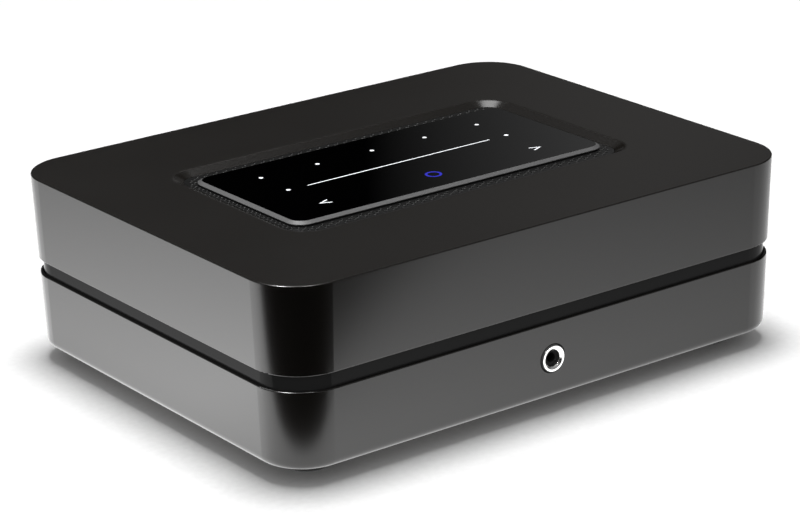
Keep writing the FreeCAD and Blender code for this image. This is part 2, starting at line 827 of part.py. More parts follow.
def make_vent_grille():
    """A sheet with staggered holes round a shallow seat for the touch panel's tray."""
    width, length = value("seat_width - 2 * fit_gap"), value("seat_length - 2 * fit_gap")
    radius, level = value("seat_radius - fit_gap"), value("grille_bottom")
    pitch, hole = value("grille_pitch"), value("grille_hole / 2")
    margin = value("grille_margin") + hole
    column_pitch = pitch * math.sqrt(3) / 2
    wires = [outline_wire(width, length, radius, level)]
    up = FreeCAD.Vector(0, 0, 1)
    rows = int(length / 2 / pitch) + 1
    columns = int(width / 2 / column_pitch) + 1
    for i in range(-columns, columns + 1):
        for j in range(-rows, rows + 1):
            x, y = i * column_pitch, (j + 0.5 * (i % 2)) * pitch
            if not inside_outline(x, y, width - 2 * margin, length - 2 * margin, radius - margin):
                continue
            if inside_outline(x, y, value("tray_width") + 2 * margin,
                              value("tray_length") + 2 * margin, value("tray_radius") + margin):
                continue
            wires.append(Part.Wire(Part.makeCircle(hole, FreeCAD.Vector(x, y, level), up)))
    for sx in (-1, 1):
        for sy in (-1, 1):
            centre = FreeCAD.Vector(sx * value("panel_screw_x"), sy * value("panel_screw_y"), level)
            wires.append(Part.Wire(Part.makeCircle(value("panel_thread + clear_gap"), centre, up)))
    slot_width = value("ribbon_width + 2 * clear_gap")
    slot_depth = value("ribbon_sheet + 4 * clear_gap")
    corner = FreeCAD.Vector(value("ribbon_x") - slot_width / 2,
                            value("ribbon_y - (middle)") - slot_depth / 2, level)
    slot = Part.makePlane(slot_width, slot_depth, corner)
    wires.append(slot.OuterWire)
    face = Part.Face(wires, "Part::FaceMakerBullseye")
    item = doc.addObject("Part::Feature", "vent_grille_sheet")
    sheet = face.extrude(FreeCAD.Vector(0, 0, value("grille_sheet")))
    seat = Part.Face(outline_wire(value("tray_width + 2 * fit_gap"),
                                  value("tray_length + 2 * fit_gap"),
                                  value("tray_radius + fit_gap"), value("tray_base")))
    item.Shape = sheet.cut(seat.extrude(FreeCAD.Vector(0, 0, value("2 * tray_sink"))))
    item.Placement = FreeCAD.Placement(FreeCAD.Vector(0, value("middle"), 0), FreeCAD.Rotation())
    keep("vent_grille", item)


PANEL_SCREWS = [(f"{sx}panel_screw_x", f"{sy}panel_screw_y") for sx in ("-", "")
                for sy in ("-", "")]


def make_panel_tray():
    body = new_body("panel_tray_body")
    outline = outline_sketch(body, "tray_outline", "tray_base", "tray_width",
                             "tray_length", "tray_radius")
    pad(body, "tray_block", outline, "tray_height")
    hollow = outline_sketch(body, "tray_hollow_outline", "tray_top",
                            "tray_width - 2 * tray_wall", "tray_length - 2 * tray_wall",
                            "tray_radius - tray_wall")
    pocket(body, "tray_hollow", hollow, "tray_height - tray_floor")
    slot = sketch_on(body, "tray_slot_outline", "XY_Plane", "tray_base")
    draw_outline(slot, "ribbon_width + 2 * clear_gap", "ribbon_sheet + 4 * clear_gap",
                 "clear_gap", "ribbon_x", "ribbon_y - (middle)")
    pocket(body, "tray_slot", slot, "tray_floor", reverse=True)
    pilots = sketch_on(body, "tray_pilot_circles", "XY_Plane", "tray_base")
    draw_circles(pilots, "panel_thread + thread_gap", PANEL_SCREWS)
    pocket(body, "tray_pilots", pilots, "tray_floor", reverse=True)
    keep("panel_tray", body)


def make_panel_bezel():
    body = new_body("panel_bezel_body")
    outline = outline_sketch(body, "bezel_outline", "tray_top", "bezel_width",
                             "bezel_length", "bezel_radius")
    pad(body, "bezel_foot", outline, "bezel_edge")
    outline = outline_sketch(body, "bezel_side_outline", "tray_top + bezel_edge", "bezel_width",
                             "bezel_length", "bezel_radius")
    pad(body, "bezel_side", outline, "bezel_height - bezel_edge",
        taper="-atan(bezel_run / (bezel_height - bezel_edge))")
    opening = "(glass_inset - fit_gap)"
    mouth = outline_sketch(body, "bezel_mouth_outline", "bezel_top",
                           f"bezel_width - 2 * {opening}", f"bezel_length - 2 * {opening}",
                           f"bezel_radius - {opening}")
    pocket(body, "bezel_mouth", mouth, "bezel_height - bezel_lip")
    inner = f"({opening} + bezel_lip_width)"
    hole = outline_sketch(body, "bezel_hole_outline", "glass_bottom",
                          f"bezel_width - 2 * {inner}", f"bezel_length - 2 * {inner}",
                          f"bezel_radius - {inner}")
    pocket(body, "bezel_hole", hole, "bezel_lip")
    keep("panel_bezel", body)


def make_touch_glass():
    body = new_body("touch_glass_body")
    outline = outline_sketch(body, "glass_outline", "glass_bottom",
                             "bezel_width - 2 * glass_inset", "bezel_length - 2 * glass_inset",
                             "bezel_radius - glass_inset")
    pad(body, "glass_sheet", outline, "bezel_top - glass_bottom")
    keep("touch_glass", body)


def make_touch_electronics():
    """The board under the glass, its lamps, the light ring and the flat ribbon."""
    gap = "(tray_inset + tray_wall + 2 * fit_gap)"
    board = block("touch_board_blank", f"bezel_width - 2 * {gap}", f"bezel_length - 2 * {gap}",
                  "touch_board_sheet", 0, "middle", "touch_board_base")
    keep("touch_board", rounded("touch_board_round", board, "tray_radius - tray_wall", upright))
    ring_y = "middle - ring_place"
    height = "glass_bottom - touch_board_top - face_gap"
    ring = rod("ring_outside", "ring_outer", height, 0, ring_y, "touch_board_top")
    bore = rod("ring_inside", "ring_inner", height, 0, ring_y, "touch_board_top")
    keep("status_ring", cut("ring_guide", ring, bore))
    lamps = [block("ring_lamp", "led_side", "led_side", "led_height", 0, ring_y,
                   "touch_board_top")]
    for k in range(int(value("dot_count"))):
        lamps.append(block(f"dot_lamp_{k}", "led_side", "led_side", "led_height",
                           f"({k} - (dot_count - 1) / 2) * dot_pitch", "middle + dot_row",
                           "touch_board_top"))
    keep("panel_lamps", group("lamp_group", lamps))
    screws = []
    for k, (x, y) in enumerate(corners("panel_screw_x", "panel_screw_y")):
        head = rod(f"panel_head_{k}", "panel_head_radius", "panel_head_height", x, y,
                   "grille_bottom - panel_head_height")
        shank = rod(f"panel_shank_{k}", "panel_thread",
                    "tray_base - grille_bottom + tray_floor - face_gap", x, y, "grille_bottom")
        screws.append(fuse(f"panel_screw_{k}", head, shank))
    keep("panel_screws", group("panel_screw_group", screws))
    keep("panel_ribbon", block("ribbon", "ribbon_width", "ribbon_sheet",
                               "touch_board_base - board_top - header_height", "ribbon_x",
                               "ribbon_y", "board_top + header_height"))


def make_headphone_socket():
    """A moulded socket behind the front wall and the metal ring round its mouth."""
    face = "front_inner + fit_gap"
    body = block("jack_block", "jack_width", "jack_length", "2 * (jack_height - board_top)", 0,
                 f"{face} + jack_length / 2", "board_top")
    barrel = rod("jack_barrel", "jack_barrel", "jack_barrel_reach", 0,
                 f"{face} - jack_barrel_reach", "jack_height", "y")
    bore = rod("jack_bore", "jack_bore", "jack_bore_depth", 0, f"{face} - jack_barrel_reach",
               "jack_height", "y")
    keep("headphone_socket", cut("jack_moulding", fuse("jack_solid", body, barrel), bore))
    start = f"{face} - jack_ring_length"
    ring = rod("jack_ring_blank", "jack_ring_radius", "jack_ring_length", 0, start,
               "jack_height", "y")
    front = value(start)
    eased = rounded("jack_ring_eased", ring, "lip_round",
                    lambda edge: edge.BoundBox.YMax < front + 1e-4)
    bore = rod("jack_ring_bore", "jack_barrel + thread_gap", "jack_ring_length", 0, start,
               "jack_height", "y")
    flare = cone("jack_ring_flare", "jack_barrel + thread_gap + jack_ring_chamfer",
                 "jack_barrel + thread_gap", "jack_ring_chamfer", 0, start, "jack_height", "y")
    keep("headphone_ring", cut("jack_ring", eased, bore, flare))


def post_x(k):
    return f"(post_first_x + {k} * post_pitch)"


def make_rear_panel():
    """The steel sheet that carries the sockets, with an opening for each."""
    height = "rear_high - floor_top - rear_low_gap"
    sheet_body = block("rear_sheet_blank", "rear_width", "rear_sheet", height, 0,
                       "rear_face - rear_sheet / 2", "floor_top + rear_low_gap")
    holes = [
        block("inlet_opening", "inlet_body_width + 2 * fit_gap", "3 * rear_sheet",
              "inlet_body_height + 2 * fit_gap", "inlet_x", "rear_face",
              "inlet_height - inlet_body_height / 2 - fit_gap"),
        block("network_opening", "network_width + 2 * fit_gap", "3 * rear_sheet",
              "network_height + 2 * fit_gap", "network_x", "rear_face", "board_top - fit_gap"),
        block("tv_opening", "tv_width + 2 * fit_gap", "3 * rear_sheet",
              "tv_height + 2 * fit_gap", "tv_x", "rear_face", "board_top - fit_gap"),
        block("data_opening", "data_width + 2 * fit_gap", "3 * rear_sheet",
              "data_height + 2 * fit_gap", "data_x", "rear_face", "board_top - fit_gap"),
        rod("input_opening", "input_barrel + fit_gap", "3 * rear_sheet", "input_x",
            "rear_face - 1.5 * rear_sheet", "board_top + input_axis", "y"),
        rod("sub_opening", "sub_barrel + fit_gap", "3 * rear_sheet", "sub_x",
            "rear_face - 1.5 * rear_sheet", "board_top + sub_axis", "y"),
    ]
    for k in range(int(value("post_count"))):
        holes.append(rod(f"post_opening_{k}", "collar_spigot + fit_gap", "3 * rear_sheet",
                         post_x(k), "rear_face - 1.5 * rear_sheet", "post_height", "y"))
    screws = []
    for k, (x, z) in enumerate((x, z) for x in REAR_SIDES
                               for z in ("rear_screw_low", "rear_screw_high")):
        holes.append(rod(f"rear_screw_opening_{k}", "thread_radius + clear_gap",
                         "3 * rear_sheet", x, "rear_face - 1.5 * rear_sheet", z, "y"))
        head = rod(f"rear_head_{k}", "rear_head_radius", "rear_head_height", x, "rear_face", z, "y")
        shank = rod(f"rear_shank_{k}", "thread_radius", "rear_shank", x,
                    "rear_face - rear_shank", z, "y")
        drive = rod(f"rear_drive_{k}", "rear_head_radius / 2", "rear_head_height / 2", x,
                    "rear_face + rear_head_height / 2", z, "y")
        screws.append(cut(f"rear_screw_{k}", fuse(f"rear_bolt_{k}", head, shank), drive))
    keep("rear_panel", cut("rear_plate", sheet_body, *holes))
    keep("rear_panel_screws", group("rear_screw_group", screws))


def make_mains_inlet():
    """A two-pin inlet with a figure-of-eight mouth."""
    low = "inlet_height - inlet_body_height / 2"
    flange = block("inlet_flange", "inlet_flange_width", "inlet_flange_sheet",
                   "inlet_flange_height", "inlet_x", "rear_face + inlet_flange_sheet / 2",
                   "inlet_height - inlet_flange_height / 2")
    flange = rounded("inlet_flange_rounded", flange, "inlet_flange_round",
                     lambda edge: edge.BoundBox.XLength + edge.BoundBox.ZLength < 1e-6)
    core = block("inlet_core", "inlet_body_width", "inlet_body_depth", "inlet_body_height",
                 "inlet_x", "rear_face - inlet_body_depth / 2", low)
    bottom = "rear_face + inlet_flange_sheet - inlet_cavity_depth"
    cavity = [rod(f"inlet_lobe_{k}", "inlet_lobe", "inlet_cavity_depth",
                  f"inlet_x {sign} inlet_pin_spread", bottom, "inlet_height", "y")
              for k, sign in enumerate("-+")]
    cavity.append(block("inlet_waist_slot", "2 * inlet_pin_spread", "inlet_cavity_depth",
                        "2 * inlet_waist", "inlet_x", f"{bottom} + inlet_cavity_depth / 2",
                        "inlet_height - inlet_waist"))
    keep("mains_inlet", cut("inlet", fuse("inlet_solid", flange, core), *cavity))
    pins = [rod(f"inlet_pin_{k}", "inlet_pin_radius", "inlet_pin_length",
                f"inlet_x {sign} inlet_pin_spread", bottom, "inlet_height", "y")
            for k, sign in enumerate("-+")]
    keep("mains_pins", group("inlet_pins", pins))


def make_network_socket():
    can = block("network_can", "network_width", "network_depth", "network_height", "network_x",
                "rear_face + face_gap - network_depth / 2", "board_top")
    mouth_y = "rear_face + face_gap - network_mouth_depth / 2"
    mouth = block("network_mouth", "network_mouth_width", "network_mouth_depth",
                  "network_mouth_height", "network_x", mouth_y,
                  "board_top + network_mouth_low")
    latch = block("network_latch", "network_latch_width", "network_mouth_depth",
                  "network_latch_drop + network_mouth_height / 2", "network_x", mouth_y,
                  "board_top + network_mouth_low - network_latch_drop")
    keep("network_socket", cut("network_shell", can, mouth, latch))
    contacts = []
    count = int(value("contact_count"))
    for k in range(count):
        x = f"network_x + ({k} - (contact_count - 1) / 2) * contact_pitch"
        contacts.append(block(f"network_contact_{k}", "contact_width", "contact_length",
                              "contact_drop", x,
                              "rear_face - network_mouth_depth + face_gap + contact_length / 2",
                              "board_top + network_mouth_low + network_mouth_height - contact_drop"))
    keep("network_contacts", group("network_contact_group", contacts))


def make_flat_sockets():
    """The two thin-walled metal sockets with a tongue inside."""
    shell = block("tv_shell", "tv_width", "tv_depth", "tv_height", "tv_x",
                  "rear_face + face_gap - tv_depth / 2", "board_top")
    mouth = block("tv_mouth", "tv_width - 2 * tv_wall", "tv_depth - tv_back",
                  "tv_height - 2 * tv_wall", "tv_x",
                  "rear_face + face_gap - (tv_depth - tv_back) / 2", "board_top + tv_wall")
    low = value("board_top + tv_wall")
    mouth = rounded("tv_mouth_round", mouth, "tv_corner", lambda edge: (
        edge.BoundBox.XLength + edge.BoundBox.ZLength < 1e-6 and edge.BoundBox.ZMax < low + 1e-4))
    keep("tv_audio_socket", cut("tv_socket", shell, mouth))
    keep("tv_audio_tongue", block("tv_tongue", "tv_tongue_width", "tv_tongue_length",
                                  "tv_tongue_sheet", "tv_x",
                                  "rear_face + face_gap - (tv_depth - tv_back) + tv_tongue_length / 2",
                                  "board_top + (tv_height - tv_tongue_sheet) / 2"))
    shell = block("data_shell", "data_width", "data_depth", "data_height", "data_x",
                  "rear_face + face_gap - data_depth / 2", "board_top")
    mouth = block("data_mouth", "data_width - 2 * data_wall", "data_depth - data_back",
                  "data_height - 2 * data_wall", "data_x",
                  "rear_face + face_gap - (data_depth - data_back) / 2", "board_top + data_wall")
    keep("data_socket", cut("data_shell_open", shell, mouth))
    keep("data_tongue", block("data_tongue_bar", "data_tongue_width", "data_tongue_length",
                              "data_tongue_sheet", "data_x",
                              "rear_face + face_gap - (data_depth - data_back) + data_tongue_length / 2",
                              "board_top + data_height - data_wall - data_tongue_top_gap"
                              " - data_tongue_sheet"))


def make_round_sockets():
    """The analogue input and the subwoofer output."""
    axis = "board_top + input_axis"
    back = "rear_back - face_gap"
    body = block("input_block", "input_width", "input_depth", "2 * input_axis", "input_x",
                 f"{back} - input_depth / 2", "board_top")
    barrel = rod("input_barrel_rod", "input_barrel", "rear_sheet + face_gap + input_reach",
                 "input_x", back, axis, "y")
    bore = rod("input_bore", "jack_bore", "jack_bore_depth", "input_x",
               "rear_face + input_reach - jack_bore_depth", axis, "y")
    keep("audio_input_socket", cut("input_socket", fuse("input_solid", body, barrel), bore))
    axis = "board_top + sub_axis"
    base = block("sub_base", "sub_base_width", "sub_base_depth", "sub_base_height", "sub_x",
                 f"{back} - sub_base_depth / 2", "board_top")
    core = rod("sub_core", "sub_barrel - sub_barrel_wall - thread_gap",
               "rear_sheet + face_gap + sub_reach - sub_core_set_back", "sub_x", back, axis, "y")
    bore = rod("sub_core_bore", "sub_bore", "sub_bore_depth", "sub_x",
               "rear_face + sub_reach - sub_core_set_back - sub_bore_depth", axis, "y")
    keep("sub_output_body", cut("sub_body", fuse("sub_solid", base, core), bore))
    tube = rod("sub_tube", "sub_barrel", "rear_sheet + face_gap + sub_reach", "sub_x", back,
               axis, "y")
    flange = rod("sub_flange_disc", "sub_flange", "sub_flange_sheet", "sub_x", "rear_face", axis, "y")
    hollow = rod("sub_tube_bore", "sub_barrel - sub_barrel_wall",
                 "rear_sheet + face_gap + sub_reach", "sub_x", back, axis, "y")
    keep("sub_output_barrel", cut("sub_barrel_tube", fuse("sub_metal", tube, flange), hollow))


def make_speaker_post(k):
    """The fixed parts of one post: threaded shaft, insulating collar and lock nut."""
    x, z = post_x(k), "post_height"
    shaft = rod(f"shaft_{k}", "post_radius", "post_tip - rear_back + post_inner_length", x,
                "rear_back - post_inner_length", z, "y")
    tail = block(f"tail_{k}", "tail_width", "tail_length", "post_height - amp_board_top", x,
                 "rear_back - tail_place - tail_length / 2", "amp_board_top")
    bore = rod(f"banana_{k}", "banana_bore", "banana_depth", x, "post_tip - banana_depth", z, "y")
    mouth = cone(f"banana_mouth_{k}", "banana_bore", "banana_bore + banana_flare",
                 "banana_flare", x, "post_tip - banana_flare", z, "y")
    wire = rod(f"wire_hole_{k}", "wire_hole", "3 * post_radius", f"{x} - 1.5 * post_radius",
               "rear_face + wire_hole_reach", z, "x")
    shaft = cut(f"post_{k}", fuse(f"shaft_tail_{k}", shaft, tail), bore, mouth, wire)
    disc = rod(f"collar_disc_{k}", "collar_radius", "collar_sheet", x, "rear_face", z, "y")
    face = value("collar_face")
    disc = rounded(f"collar_disc_round_{k}", disc, "collar_round",
                   lambda edge: edge.BoundBox.YMin > face - 1e-4)
    spigot = rod(f"collar_spigot_{k}", "collar_spigot", "rear_sheet", x, "rear_back", z, "y")
    hole = rod(f"collar_hole_{k}", "post_radius + thread_gap", "rear_sheet + collar_sheet", x,
               "rear_back", z, "y")
    collar = cut(f"collar_{k}", fuse(f"collar_solid_{k}", disc, spigot), hole)
    hexagon = doc.addObject("Part::Prism", f"lock_hexagon_{k}")
    hexagon.Polygon = 6
    hexagon.Placement = FreeCAD.Placement(FreeCAD.Vector(), TURNS["y"])
    bind(hexagon, Circumradius="lock_nut_flats / sqrt(3)", Height="lock_nut_height")
    bind(hexagon, base_x=x, base_y="rear_back - lock_nut_height", base_z=z)
    hole = rod(f"lock_hole_{k}", "post_radius + thread_gap", "lock_nut_height", x,
               "rear_back - lock_nut_height", z, "y")
    return shaft, collar, cut(f"lock_nut_{k}", hexagon, hole)


def make_speaker_nut(k):
    """The moving parts of one post: captive washer and fluted nut."""
    x, z = post_x(k), "post_height"
    disc = rod(f"washer_disc_{k}", "washer_radius", "washer_sheet", x, "collar_face + face_gap",
               z, "y")
    hole = rod(f"washer_hole_{k}", "post_radius + run_gap", "washer_sheet", x,
               "collar_face + face_gap", z, "y")
    keep(f"clamp_washer_{k + 1}", cut(f"washer_{k}", disc, hole))
    start, length = "washer_face + face_gap", "post_reach - washer_face - face_gap"
    blank = rod(f"nut_blank_{k}", "nut_radius", length, x, start, z, "y")
    low, high = value(start), value("post_reach")
    eased = doc.addObject("Part::Chamfer", f"nut_eased_{k}")
    doc.recompute()
    eased.Base = blank
    size = value("nut_chamfer")
    rims = [i for i, edge in enumerate(blank.Shape.Edges, start=1)
            if edge.BoundBox.YLength < 1e-6 and (abs(edge.BoundBox.YMin - low) < 1e-4
                                                 or abs(edge.BoundBox.YMin - high) < 1e-4)]
    eased.Edges = [(i, size, size) for i in rims]
    tools = [rod(f"nut_hole_{k}", "post_radius + run_gap", length, x, start, z, "y")]
    count = int(value("nut_flute_count"))
    for flute in range(count):
        turn = f"{flute} * 360 / nut_flute_count"
        tools.append(rod(f"nut_flute_{k}_{flute}", "nut_flute", length,
                         f"{x} + (nut_radius + nut_flute / 3) * cos({turn})", start,
                         f"{z} + (nut_radius + nut_flute / 3) * sin({turn})", "y"))
    keep(f"speaker_nut_{k + 1}", cut(f"nut_{k}", eased, *tools))


def make_speaker_posts():
    count = int(value("post_count"))
    shafts, collars, lock_nuts = zip(*[make_speaker_post(k) for k in range(count)])
    keep("speaker_posts", group("post_group", shafts))
    keep("post_collars", group("collar_group", collars))
    keep("post_lock_nuts", group("lock_nut_group", lock_nuts))
    for k in range(count):
        make_speaker_nut(k)


def plate(name, left, right, front, rear, base):
    return block(name, f"({right}) - ({left})", f"({rear}) - ({front})", "board_sheet",
                 f"(({right}) + ({left})) / 2", f"(({rear}) + ({front})) / 2", base)


def make_boards():
    """Power, main and amplifier boards with their screws and pillars."""
    screws = board_screw_places()
    low = "board_base"
    drill = [rod(f"board_drill_{k}", "board_thread + clear_gap", "board_sheet", x, y, low)
             for k, (x, y) in enumerate(screws)]
    power = plate("power_sheet", "-power_board_left", "-power_board_right", "-board_front",
                  "board_rear", low)
    keep("power_board", cut("power_board_drilled", power, *drill[:4]))
    main = plate("main_sheet", "-main_board_left", "main_board_right", "-board_front",
                 "board_rear", low)
    keep("main_board", cut("main_board_drilled", main, *drill[4:]))
    keep("amplifier_board", plate("amp_sheet", "-main_board_left", "main_board_right",
                                  "-amp_board_front", "board_rear", "amp_board_base"))
    bolts = []
    for k, (x, y) in enumerate(screws):
        head = rod(f"board_head_{k}", "board_head_radius", "board_head_height", x, y, "board_top")
        shank = rod(f"board_shank_{k}", "board_thread", "board_sheet + board_thread_grip",
                    x, y, "board_base - board_thread_grip")
        bolts.append(fuse(f"board_screw_{k}", head, shank))
    keep("board_screws", group("board_screw_group", bolts))
    feet = [(x, y) for x in ("-main_board_left + pillar_inset", "main_board_right - pillar_inset")
            for y in ("-amp_board_front + board_screw_inset", "board_rear - pillar_rear_inset")]
    pillars = [rod(f"pillar_{k}", "pillar_radius", "amp_board_base - board_top", x, y,
                   "board_top") for k, (x, y) in enumerate(feet)]
    keep("board_pillars", group("pillar_group", pillars))


def make_amplifier_stage():
    """Power chips under a finned heatsink, and the output coils."""
    chips = [block(f"chip_{k}", "chip_side", "chip_side", "chip_height",
                   f"amp_middle + ({k} - (chip_count - 1) / 2) * chip_pitch", "chip_row",
                   "amp_board_top") for k in range(int(value("chip_count")))]
    keep("amplifier_chips", group("chip_group", chips))
    base = block("sink_plate", "sink_width", "sink_length", "sink_base", "amp_middle", "chip_row",
                 "chip_top")
    fins = []
    for k in range(int(value("sink_fin_count"))):
        x = (f"amp_middle + ({k} / (sink_fin_count - 1) - 0.5) * (sink_width - sink_fin)")
        fins.append(block(f"sink_fin_{k}", "sink_fin", "sink_length", "sink_height", x,
                          "chip_row", "chip_top"))
    keep("heatsink", fuse("finned_sink", base, *fins))
    coils = []
    for k in range(int(value("post_count"))):
        coil = block(f"coil_{k}", "coil_side", "coil_side", "coil_height", post_x(k),
                     "coil_row", "amp_board_top")
        coils.append(rounded(f"coil_round_{k}", coil, "coil_round", upright))
    keep("output_coils", group("coil_group", coils))


def make_power_supply():
    outer = block("core_outer", "core_width", "core_length", "core_height", "core_x", "core_y",
                  "board_top")
    windows = [block(f"core_window_{k}", "(core_width - 4 * core_leg) / 2", "core_length",
                     "core_height - 2 * core_leg",
                     f"core_x {sign} (core_width - 4 * core_leg) / 4 {sign} core_leg", "core_y",
                     "board_top + core_leg") for k, sign in enumerate("-+")]
    keep("transformer_core", cut("core_frame", outer, *windows))
    winding = block("winding_outer", "core_width - 2 * core_leg - 2 * fit_gap",
                    "core_length + 2 * winding_swell", "core_height - 2 * core_leg - 2 * fit_gap",
                    "core_x", "core_y", "board_top + core_leg + fit_gap")
    winding = rounded("winding_rounded", winding, "winding_round", upright)
    leg = block("winding_leg", "2 * core_leg + 2 * fit_gap", "core_length",
                "core_height - 2 * core_leg", "core_x", "core_y", "board_top + core_leg")
    keep("transformer_winding", cut("winding", winding, leg))
    choke = doc.addObject("Part::Torus", "choke_torus")
    bind(choke, Radius1="choke_ring", Radius2="choke_tube", base_x="choke_x",
         base_y="choke_y", base_z="board_top + choke_tube")
    keep("mains_choke", choke)
    film = block("film_block", "film_width", "film_length", "film_height", "film_x", "film_y",
                 "board_top")
    keep("filter_capacitor", rounded("film_rounded", film, "can_round", upright))
    cans = []
    for k, sign in enumerate("-+"):
        can = rod(f"bulk_can_{k}", "bulk_radius", "bulk_height",
                  f"core_x {sign} bulk_pitch / 2", "bulk_row", "board_top")
        cans.append(rounded(f"bulk_can_round_{k}", can, "can_round",
                            lambda edge: edge.BoundBox.ZLength < 1e-6))
    keep("bulk_capacitors", group("bulk_group", cans))
    axis = "board_top + fuse_rise + fuse_radius"
    tube = rod("fuse_tube", "fuse_radius", "fuse_length", "fuse_x",
               "fuse_y - fuse_length / 2", axis, "y")
    clips = [block(f"fuse_clip_{k}", "2 * (fuse_radius + fuse_clip_wall)", "fuse_cap",
                   "fuse_rise + 2 * fuse_radius + fuse_clip_wall", "fuse_x",
                   f"fuse_y {sign} (fuse_length - fuse_cap) / 2", "board_top")
             for k, sign in enumerate("-+")]
    keep("mains_fuse", fuse("fuse_in_clips", tube, *clips))


def make_main_board_parts():
    shield = block("shield_can", "shield_side", "shield_side", "shield_height", "shield_x",
                   "shield_y", "board_top")
    keep("processor_shield", rounded("shield_rounded", shield, "shield_round", upright))
    keep("wireless_module", block("radio_block", "radio_width", "radio_length", "radio_height",
                                  "radio_x", "radio_y", "board_top"))
    strips = [block(f"antenna_{k}", "antenna_sheet", "antenna_length", "antenna_height",
                    f"{sign}(cavity_width / 2 - antenna_sheet / 2)", "antenna_y", "antenna_low")
              for k, sign in enumerate(("-", ""))]
    keep("wireless_antennas", group("antenna_group", strips))
    headers = [
        block("ribbon_header", "header_width", "header_length", "header_height", "ribbon_x",
              "ribbon_y", "board_top"),
        block("power_header", "header_length", "header_width", "header_height", "lead_left",
              "lead_y", "board_top"),
        block("amp_header", "header_length", "header_width", "header_height", "lead_right",
              "lead_y", "amp_board_top"),
    ]
    keep("board_connectors", group("header_group", headers))


def lead_wire(y):
    """The path of one supply lead: up, over in two bends and down."""
    left, right, top = value("lead_left"), value("lead_right"), value("lead_top")
    start, end = value("board_top + header_height"), value("amp_board_top + header_height")
    bend = value("lead_bend")
    lean = bend * (1 - math.sqrt(0.5))
    point = FreeCAD.Vector
    edges = [
        Part.LineSegment(point(left, y, start), point(left, y, top - bend)),
        Part.Arc(point(left, y, top - bend), point(left + lean, y, top - lean),
                 point(left + bend, y, top)),
        Part.LineSegment(point(left + bend, y, top), point(right - bend, y, top)),
        Part.Arc(point(right - bend, y, top), point(right - lean, y, top - lean),
                 point(right, y, top - bend)),
        Part.LineSegment(point(right, y, top - bend), point(right, y, end)),
    ]
    return Part.Wire([edge.toShape() for edge in edges])


def make_power_leads():
    """Supply leads from the power board's header to the amplifier's."""
    leads = []
    count = int(value("lead_count"))
    for k in range(count):
        path = lead_wire(value("lead_y") + (k - (count - 1) / 2) * value("lead_pitch"))
        start = path.Vertexes[0].Point
        section = Part.Wire(Part.makeCircle(value("lead_radius"), start, FreeCAD.Vector(0, 0, 1)))
        lead = path.makePipeShell([section], True, False)
        expected = math.pi * value("lead_radius") ** 2 * path.Length
        if abs(lead.Volume - expected) > 0.02 * expected:
            raise ValueError("a supply lead has the wrong volume")
        leads.append(lead)
    item = doc.addObject("Part::Feature", "power_lead_group")
    item.Shape = Part.makeCompound(leads)
    keep("power_leads", item)


make_upper_housing()
make_centre_band()
make_lower_housing()
make_feet_and_screws()
make_vent_grille()
make_panel_tray()
make_panel_bezel()
make_touch_glass()
make_touch_electronics()
make_headphone_socket()
make_rear_panel()
make_mains_inlet()
make_network_socket()
make_flat_sockets()
make_round_sockets()
make_speaker_posts()
make_boards()
make_amplifier_stage()
make_power_supply()
make_main_board_parts()
make_power_leads()
doc.recompute()

for item in doc.Objects:
    if "Invalid" in item.State or "Error" in item.State:
        raise ValueError(f"{item.Label} failed: {item.State}")
for name, item in nodes.items():
    if item.Shape.isNull() or not item.Shape.isValid() or not item.Shape.Solids:
        raise ValueError(f"{name} has no valid shape")

os.makedirs("parts", exist_ok=True)
for name, item in nodes.items():
    item.Shape.exportStep(f"parts/{name}.step")
print(len(nodes), "nodes written")
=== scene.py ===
import json
import math

import bmesh
import bpy
from mathutils import Matrix, Vector


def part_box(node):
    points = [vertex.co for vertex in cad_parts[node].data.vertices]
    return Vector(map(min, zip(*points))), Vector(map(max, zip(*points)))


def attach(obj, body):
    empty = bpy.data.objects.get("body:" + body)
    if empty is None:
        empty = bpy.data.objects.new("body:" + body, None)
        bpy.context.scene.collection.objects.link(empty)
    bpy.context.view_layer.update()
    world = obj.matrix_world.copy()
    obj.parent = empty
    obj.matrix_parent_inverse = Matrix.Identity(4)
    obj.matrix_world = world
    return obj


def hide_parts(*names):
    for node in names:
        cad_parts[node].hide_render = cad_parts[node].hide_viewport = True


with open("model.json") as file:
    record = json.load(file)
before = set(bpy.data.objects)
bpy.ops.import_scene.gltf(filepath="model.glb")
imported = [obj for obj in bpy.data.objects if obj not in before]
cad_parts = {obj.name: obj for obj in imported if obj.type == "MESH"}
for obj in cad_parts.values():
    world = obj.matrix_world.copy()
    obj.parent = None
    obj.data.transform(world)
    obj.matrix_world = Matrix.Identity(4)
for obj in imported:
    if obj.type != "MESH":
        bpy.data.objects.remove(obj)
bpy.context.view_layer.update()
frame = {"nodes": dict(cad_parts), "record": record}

# Streaming amplifier: two dark satin shells on a glossy band, a touch panel in a
# vented recess, a headphone socket in front, sockets and speaker posts behind.
# Metres. +X right and -Y towards the front, +Z up, floor at Z = 0.

MM = 0.001
NODES = frame["nodes"]


# Shader nodes

def put(tree, kind, values=(), settings=(), **inputs):
    """Adds a shader node. Inputs are given in order or by name, as numbers or as sockets."""
    node = tree.nodes.new("ShaderNode" + kind)
    for name, setting in dict(settings).items():
        setattr(node, name, setting)
    given = list(zip(node.inputs, values))
    given += [(node.inputs[name.replace("_", " ")], value) for name, value in inputs.items()]
    for socket, value in given:
        if value is None:
            continue
        if isinstance(value, bpy.types.NodeSocket):
            tree.links.new(value, socket)
        else:
            socket.default_value = value
    return node


def sums(tree, operation, *values):
    """The result of a Math node."""
    return put(tree, "Math", values, {"operation": operation}).outputs[0]


def remap(tree, value, low, high, to_low, to_high, smooth=False):
    """Maps one range on another, clamped at its ends."""
    settings = {"interpolation_type": "SMOOTHSTEP" if smooth else "LINEAR"}
    node = put(tree, "MapRange", (value, low, high, to_low, to_high), settings)
    return node.outputs[0]


